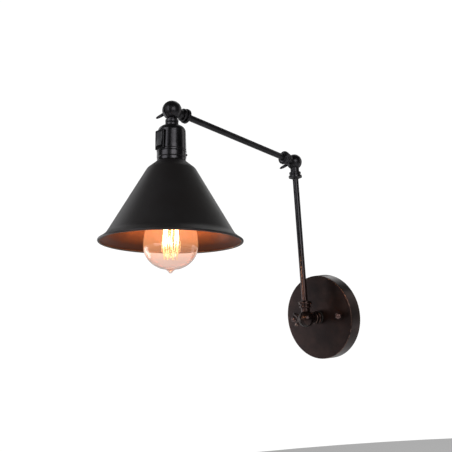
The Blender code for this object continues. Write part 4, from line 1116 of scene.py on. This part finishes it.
def makeBulb():
    low, end, _, wide = span("bulb_glass", lampKnuckle, down)
    narrow = bulb["neckRadius"]
    middle = end - wide
    neckAt = low + bulb["neckLong"]
    rise = middle - neckAt - 0.0020
    # Round end: radius = wide cos a, height = middle + (wide - pip) sin a; it closes in a drawn pip.
    a = np.linspace(math.radians(68), 0, 26)
    bowl = np.stack([wide * np.cos(a), middle + (wide - bulb["pip"]) * np.sin(a)], axis=1)
    nib = bulb["pipRadius"]
    pip = through([(0, end), (0.30 * nib, end - 0.0004), (0.50 * nib, end - 0.0018),
                   (0.86 * nib, end - 0.0036), (1.50 * nib, end - 0.0052), tuple(bowl[0])], 26)
    # Teardrop: shares of the widest radius at shares of the way up to the neck.
    shares = [(1.0, 0.0), (0.985, 0.10), (0.94, 0.21), (0.82, 0.40), (0.66, 0.62), (0.50, 0.82), (0.43, 0.94)]
    taper = through([(wide * r, middle - rise * h) for r, h in shares] + [(narrow, neckAt)], 48)
    line = np.concatenate([pip, bowl[1:-1], taper, [(narrow, low)]])
    ahead = np.gradient(line, axis=0)
    away = np.stack([ahead[:, 1], -ahead[:, 0]], axis=1)
    away /= np.linalg.norm(away, axis=1)[:, None]
    inner = line + bulb["glass"] * np.where(away[:, :1] > 0, -1, 1) * away
    inner = inner[inner[:, 1] < end - 0.0006][::-1]
    inner = np.concatenate([inner, [(0, inner[-1, 1] + 0.0004)]])
    inner[:, 0] = np.maximum(inner[:, 0], 0)
    outline = np.concatenate([line, inner])
    outline[0, 0] = 0
    made = addForm("bulb_envelope", [lathe(outline, lampKnuckle, down, bulb["sides"])], [clearGlass], 60)
    made.visible_shadow = False
    settle(made, "lamp_head", ["bulb_glass"])


def makeBulbCap():
    low, high, bore, wide = span("bulb_cap", lampKnuckle, down)
    turns = np.linspace(low + 0.0008, high - 0.0042, 90)
    # Rolled thread: radius = wide - depth (1 + cos(2 pi height / pitch)) / 2.
    pitch = (high - low - 0.0050) / bulb["capTurns"]
    wave = wide - bulb["capThread"] * (1 + np.cos(2 * math.pi * (turns - turns[0]) / pitch)) / 2
    outline = np.concatenate([
        [(bore, low), (wide - 0.0008, low)],
        np.stack([wave, turns], axis=1),
        rounded([(wide - 0.0004, high - 0.0036, 0.0003), (wide, high - 0.0028, 0.0004),
                 (wide, high, 0.0003), (bore, high)]),
    ])
    made = addForm("bulb_screw_cap", [lathe(outline, lampKnuckle, down, 96, True)], [nickel])
    settle(made, "lamp_head", ["bulb_cap"])


cage = {"ring": 0.0085, "strands": 13, "steps": 26, "wire": 0.00034, "turn": 0.14, "open": 0.86,
        "sharp": 0.985, "hook": 0.00014, "post": 0.0009, "lead": 0.00032}


def makeFilament():
    # Squirrel cage. With s from 0 to the number of strands: height swings between its ends as
    # asin(k cos(pi s)), the turn about the axis grows evenly and the cage bulges in the middle.
    low, high, _, _ = span("bulb_filament", lampKnuckle, down)
    s = np.linspace(0, cage["strands"], cage["strands"] * cage["steps"])
    swing = np.arcsin(cage["sharp"] * np.cos(math.pi * s)) / math.asin(cage["sharp"])
    height = (low + high) / 2 - swing * (high - low) / 2
    turn = math.pi * cage["turn"] + s * 2 * math.pi * cage["open"] / cage["strands"]
    ring = cage["ring"] * (0.90 + 0.14 * (1 - swing**2))
    radial = np.outer(np.cos(turn), pivot) + np.outer(np.sin(turn), np.cross(down, pivot))
    path = lampKnuckle + ring[:, None] * radial + np.outer(height, down)
    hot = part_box("bulb_filament")
    shell = carry(path, radial, circle(cage["wire"], 10))
    made = addForm("cage_filament", [shell], [makeGlowing(hot[0].z, hot[1].z)], 60)
    settle(made, "lamp_head", ["bulb_filament"])
    return path, height, low, high


def makeHooks(path, height, low, high):
    # Short wires from the glass post out to each turn of the filament.
    shells = []
    for bend in range(1, cage["strands"]):
        spot = path[bend * cage["steps"]]
        lower = height[bend * cage["steps"]] > (low + high) / 2
        root = lampKnuckle + down * ((high - 0.004) if lower else (low + 0.004))
        mid = (root + spot) / 2 + down * (0.001 if lower else -0.001)
        shells.append(carry(through([root, mid, spot], 8), down, circle(cage["hook"], 6)))
    post = np.linspace(lampKnuckle + down * (low + 0.001), lampKnuckle + down * (high - 0.0036), 6)
    shells.append(carry(post, pivot, circle(cage["post"], 12)))
    made = addForm("filament_hooks", shells, [leadWire], 60)
    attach(made, "lamp_head")


def makeStem():
    # A flare of glass drawn in to a rod: radius and height as pairs, smoothed.
    low, high, _, _ = span("bulb_stem", lampKnuckle, down)
    line = through([(0.0112, low), (0.0104, low + 0.0030), (0.0062, low + 0.0085), (0.0040, low + 0.0180),
                    (0.0028, low + 0.0270), (0.0020, high - 0.0060), (0.0023, high - 0.0030),
                    (0.0018, high - 0.0006), (0, high)], 60)
    line = np.concatenate([[(0, low)], line])
    line[-1, 0] = 0
    made = addForm("glass_stem", [lathe(line, lampKnuckle, down, 48)], [stemGlass], 60)
    made.visible_shadow = False
    settle(made, "lamp_head", ["bulb_stem"])


def makeLeads(path, low):
    for side, end in (("left", path[0]), ("right", path[-1])):
        node = f"bulb_lead_{side}"
        away = unit((end - lampKnuckle) - down * ((end - lampKnuckle) @ down))
        start = span(node, lampKnuckle, down)[0]
        bends = ((0.0052, start), (0.0060, start + 0.010), (0.0080, low - 0.012))
        line = through([lampKnuckle + away * out + down * height for out, height in bends] + [end], 40)
        shell = carry(line, np.cross(down, away), circle(cage["lead"], 10))
        settle(addForm(f"lead_{side}", [shell], [leadWire], 60), "lamp_head", [node])


def finishCarried():
    # CAD nodes that stay get their finish in place of the plain one.
    kept = {
        "base_nipple": zinc, "base_locknut": zinc, "base_nut": zinc, "elbow_nut": zinc,
        "lamp_nut": zinc, "socket_nut": zinc, "holder_contact": brass, "bulb_insulator": phenolic,
        "bulb_contact": nickel,
    }
    for name, finish in kept.items():
        node = frame["nodes"][name]
        for place in node.material_slots:
            place.material = finish


makeWallPlate()
makeKnobs()
makeStrap()
makeStuds()
makeEarthScrew()
makeStubWasher()
print("wall plate done")
boreRoom, ballTrim = 0.0003, 0.00005  # clearance round a threaded end, and under the CAD ball
nippleBore = span("base_nipple", wallCentre, outward)[3] + boreRoom
armBore = span("lower_arm", baseKnuckle, lowerDir)[3] + boreRoom
ballOf = {part: span(f"{part}_cap", spot, pivot)[1] - ballTrim
          for part, spot in (("base", baseKnuckle), ("elbow", elbowKnuckle), ("lamp", lampKnuckle))}
armCollar = {part: collarOutline(ballOf[part], armBore, collar["armGrip"]) for part in ballOf}
nippleCollar = collarOutline(ballOf["base"], nippleBore, collar["nippleGrip"])
makeHalves("base", baseKnuckle, "base_stub", -outward, nippleCollar,
           "base_arm_collar", lowerDir, armCollar["base"], ("stub", "lower_arm"), knuckleBronze)
makeHalves("elbow", elbowKnuckle, "elbow_lower_collar", -lowerDir, armCollar["elbow"],
           "elbow_upper_collar", upperDir, armCollar["elbow"], ("lower_arm", "upper_arm"), graphite)
makeHalves("lamp", lampKnuckle, "lamp_arm_collar", -upperDir, armCollar["lamp"],
           "lamp_neck", down, neckOutline(ballOf["lamp"]), ("upper_arm", "lamp_head"), graphite)
makeWing("base", baseKnuckle, "base_wing_screw", bronze)
makeWing("elbow", elbowKnuckle, "elbow_wing_screw", graphite)
makeWing("lamp", lampKnuckle, "lamp_wing_screw", graphite)
makeArm("lower_arm", baseKnuckle, lowerDir, armFinish, "lower_tube")
makeArm("upper_arm", elbowKnuckle, upperDir, graphite, "upper_tube")
print("knuckles and arms done")
makeCup()
makeSleeve()
makeSwitchFrame()
makeRocker()
makeHolder()
makeShade()
print("socket and shade done")
makeBulb()
makeBulbCap()
filamentPath, filamentHeight, filamentLow, filamentHigh = makeFilament()
makeHooks(filamentPath, filamentHeight, filamentLow, filamentHigh)
makeStem()
makeLeads(filamentPath, filamentLow)
finishCarried()
print("bulb done")


# ---- camera, floor and light

view = {"azimuth": 45.95, "elevation": -5.65, "roll": -5.76, "distance": 1.0145, "right": -0.0012,
        "up": 0.01525, "lens": 65.07, "sensor": 36.0}


def makeCamera():
    a, e, r = (math.radians(view[k]) for k in ("azimuth", "elevation", "roll"))
    back = Vector((math.sin(a) * math.cos(e), -math.cos(a) * math.cos(e), math.sin(e)))
    level = Vector((math.cos(a), math.sin(a), 0))
    upright = back.cross(level)
    right = level * math.cos(r) + upright * math.sin(r)
    up = upright * math.cos(r) - level * math.sin(r)
    low, high = cadBox
    made = bpy.data.objects.new("camera", bpy.data.cameras.new("camera"))
    made.data.lens, made.data.sensor_width = view["lens"], view["sensor"]
    place = (low + high) / 2 + right * view["right"] + up * view["up"] + back * view["distance"]
    made.matrix_world = Matrix.Translation(place) @ Matrix((right, up, back)).transposed().to_4x4()
    bpy.context.scene.collection.objects.link(made)
    bpy.context.scene.camera = made


studio = {"floorDrop": 0.62, "floorRadius": 3.0, "floorGlow": 0.30, "sky": 0.24, "dark": 0.012,
          "backdrop": 1.05,
          # Each light: where it stands from the middle, as right, up and back of the camera; then
          # width, height, power and colour.
          "lights": {
              "leftRear": ((-1.00, 0.25, -0.84), 0.8, 1.4, 3.4, (0.97, 0.98, 1.0)),
              "leftFront": ((-1.04, 0.52, 0.74), 0.90, 1.2, 11.0, (0.98, 0.98, 1.0)),
              "leftLow": ((-0.85, -0.30, -0.35), 0.45, 0.45, 2.6, (0.97, 0.98, 1.0)),
              "front": ((0.49, 0.60, 1.42), 0.95, 0.8, 11.0, (1.0, 0.99, 0.98)),
              "right": ((1.20, 0.10, -0.45), 0.5, 1.4, 3.0, (1.0, 0.96, 0.93)),
              "top": ((0.2, 1.2, -1.2), 1.0, 0.6, 2.0, (1.0, 1.0, 1.0)),
              "rear": ((0.65, 0.35, -1.40), 0.6, 1.0, 2.6, (1.0, 1.0, 1.0)),
          }}


def makeStudio():
    low, high = cadBox
    middle = (low + high) / 2
    turn = 2 * math.pi * np.arange(96) / 96
    radius = studio["floorRadius"] * np.array([0, 0.5, 1.0])
    ring = np.stack([np.cos(turn), np.sin(turn), 0 * turn], axis=1)
    under = np.array([middle.x, middle.y, low.z - studio["floorDrop"]])
    points = under + radius[:, None, None] * ring
    pale = Finish("pale_floor")
    pale.shader.inputs["Emission Color"].default_value = (1, 1, 1, 1)
    pale.shader.inputs["Emission Strength"].default_value = studio["floorGlow"]
    tone = pale.tint(pale.noise(6.0), (0.86, 0.86, 0.86), (0.90, 0.90, 0.90))
    floor = addForm("floor", [weave(points)], [pale.done(Base_Color=tone, Roughness=0.8)])
    aim = bpy.context.scene.camera.matrix_world.to_3x3()
    for name, (spot, wide, tall, power, colour) in studio["lights"].items():
        spot = aim @ Vector(spot)
        lamp = bpy.data.lights.new(name, "AREA")
        lamp.shape, lamp.size, lamp.size_y = "RECTANGLE", wide, tall
        lamp.energy, lamp.color = power, colour
        made = bpy.data.objects.new(name, lamp)
        made.location = middle + spot
        made.rotation_mode = "QUATERNION"
        made.rotation_quaternion = (-spot).to_track_quat("-Z", "Y")
        made.visible_camera = made.visible_transmission = False
        bpy.context.scene.collection.objects.link(made)
    warm = bpy.data.lights.new("filament_light", "POINT")
    warm.energy, warm.color, warm.shadow_soft_size = glow["lamp"], glow["colour"], glow["lampRadius"]
    made = bpy.data.objects.new("filament_light", warm)
    low, high, _, _ = span("bulb_filament", lampKnuckle, down)
    made.location = lampKnuckle + down * (0.55 * low + 0.45 * high)
    made.visible_camera = made.visible_transmission = False
    made.parent = frame["bodies"]["lamp_head"]
    bpy.context.scene.collection.objects.link(made)


def makeSurround():
    # White where the camera looks or sees through glass. For everything else the sky runs from
    # dark on the room side to bright on the wall side, by the dot product with one direction.
    world = bpy.data.worlds.new("studio")
    world.use_nodes = True
    bpy.context.scene.world = world
    nodes, links = world.node_tree.nodes, world.node_tree.links
    nodes.clear()
    spot = nodes.new("ShaderNodeTexCoord")
    bright = nodes.new("ShaderNodeVectorMath")
    bright.operation = "DOT_PRODUCT"
    bright.inputs[1].default_value = (-0.70, 0.70, 0.10)
    links.new(spot.outputs["Generated"], bright.inputs[0])
    fade = nodes.new("ShaderNodeMapRange")
    fade.interpolation_type = "SMOOTHSTEP"
    for socket, value in zip(fade.inputs[1:5], (-0.25, 0.9, studio["dark"], studio["sky"])):
        socket.default_value = value
    links.new(bright.outputs["Value"], fade.inputs[0])
    paths = nodes.new("ShaderNodeLightPath")
    seen = nodes.new("ShaderNodeMath")
    seen.operation = "MAXIMUM"
    links.new(paths.outputs["Is Camera Ray"], seen.inputs[0])
    links.new(paths.outputs["Is Transmission Ray"], seen.inputs[1])
    strength = nodes.new("ShaderNodeMix")
    links.new(seen.outputs[0], strength.inputs[0])
    links.new(fade.outputs[0], strength.inputs[2])
    strength.inputs[3].default_value = studio["backdrop"]
    sky = nodes.new("ShaderNodeBackground")
    sky.inputs["Color"].default_value = (1, 1, 1, 1)
    links.new(strength.outputs[0], sky.inputs["Strength"])
    end = nodes.new("ShaderNodeOutputWorld")
    links.new(sky.outputs[0], end.inputs[0])
    bpy.context.scene.view_settings.view_transform = "Standard"


makeCamera()
makeStudio()
makeSurround()
print("camera and light done")
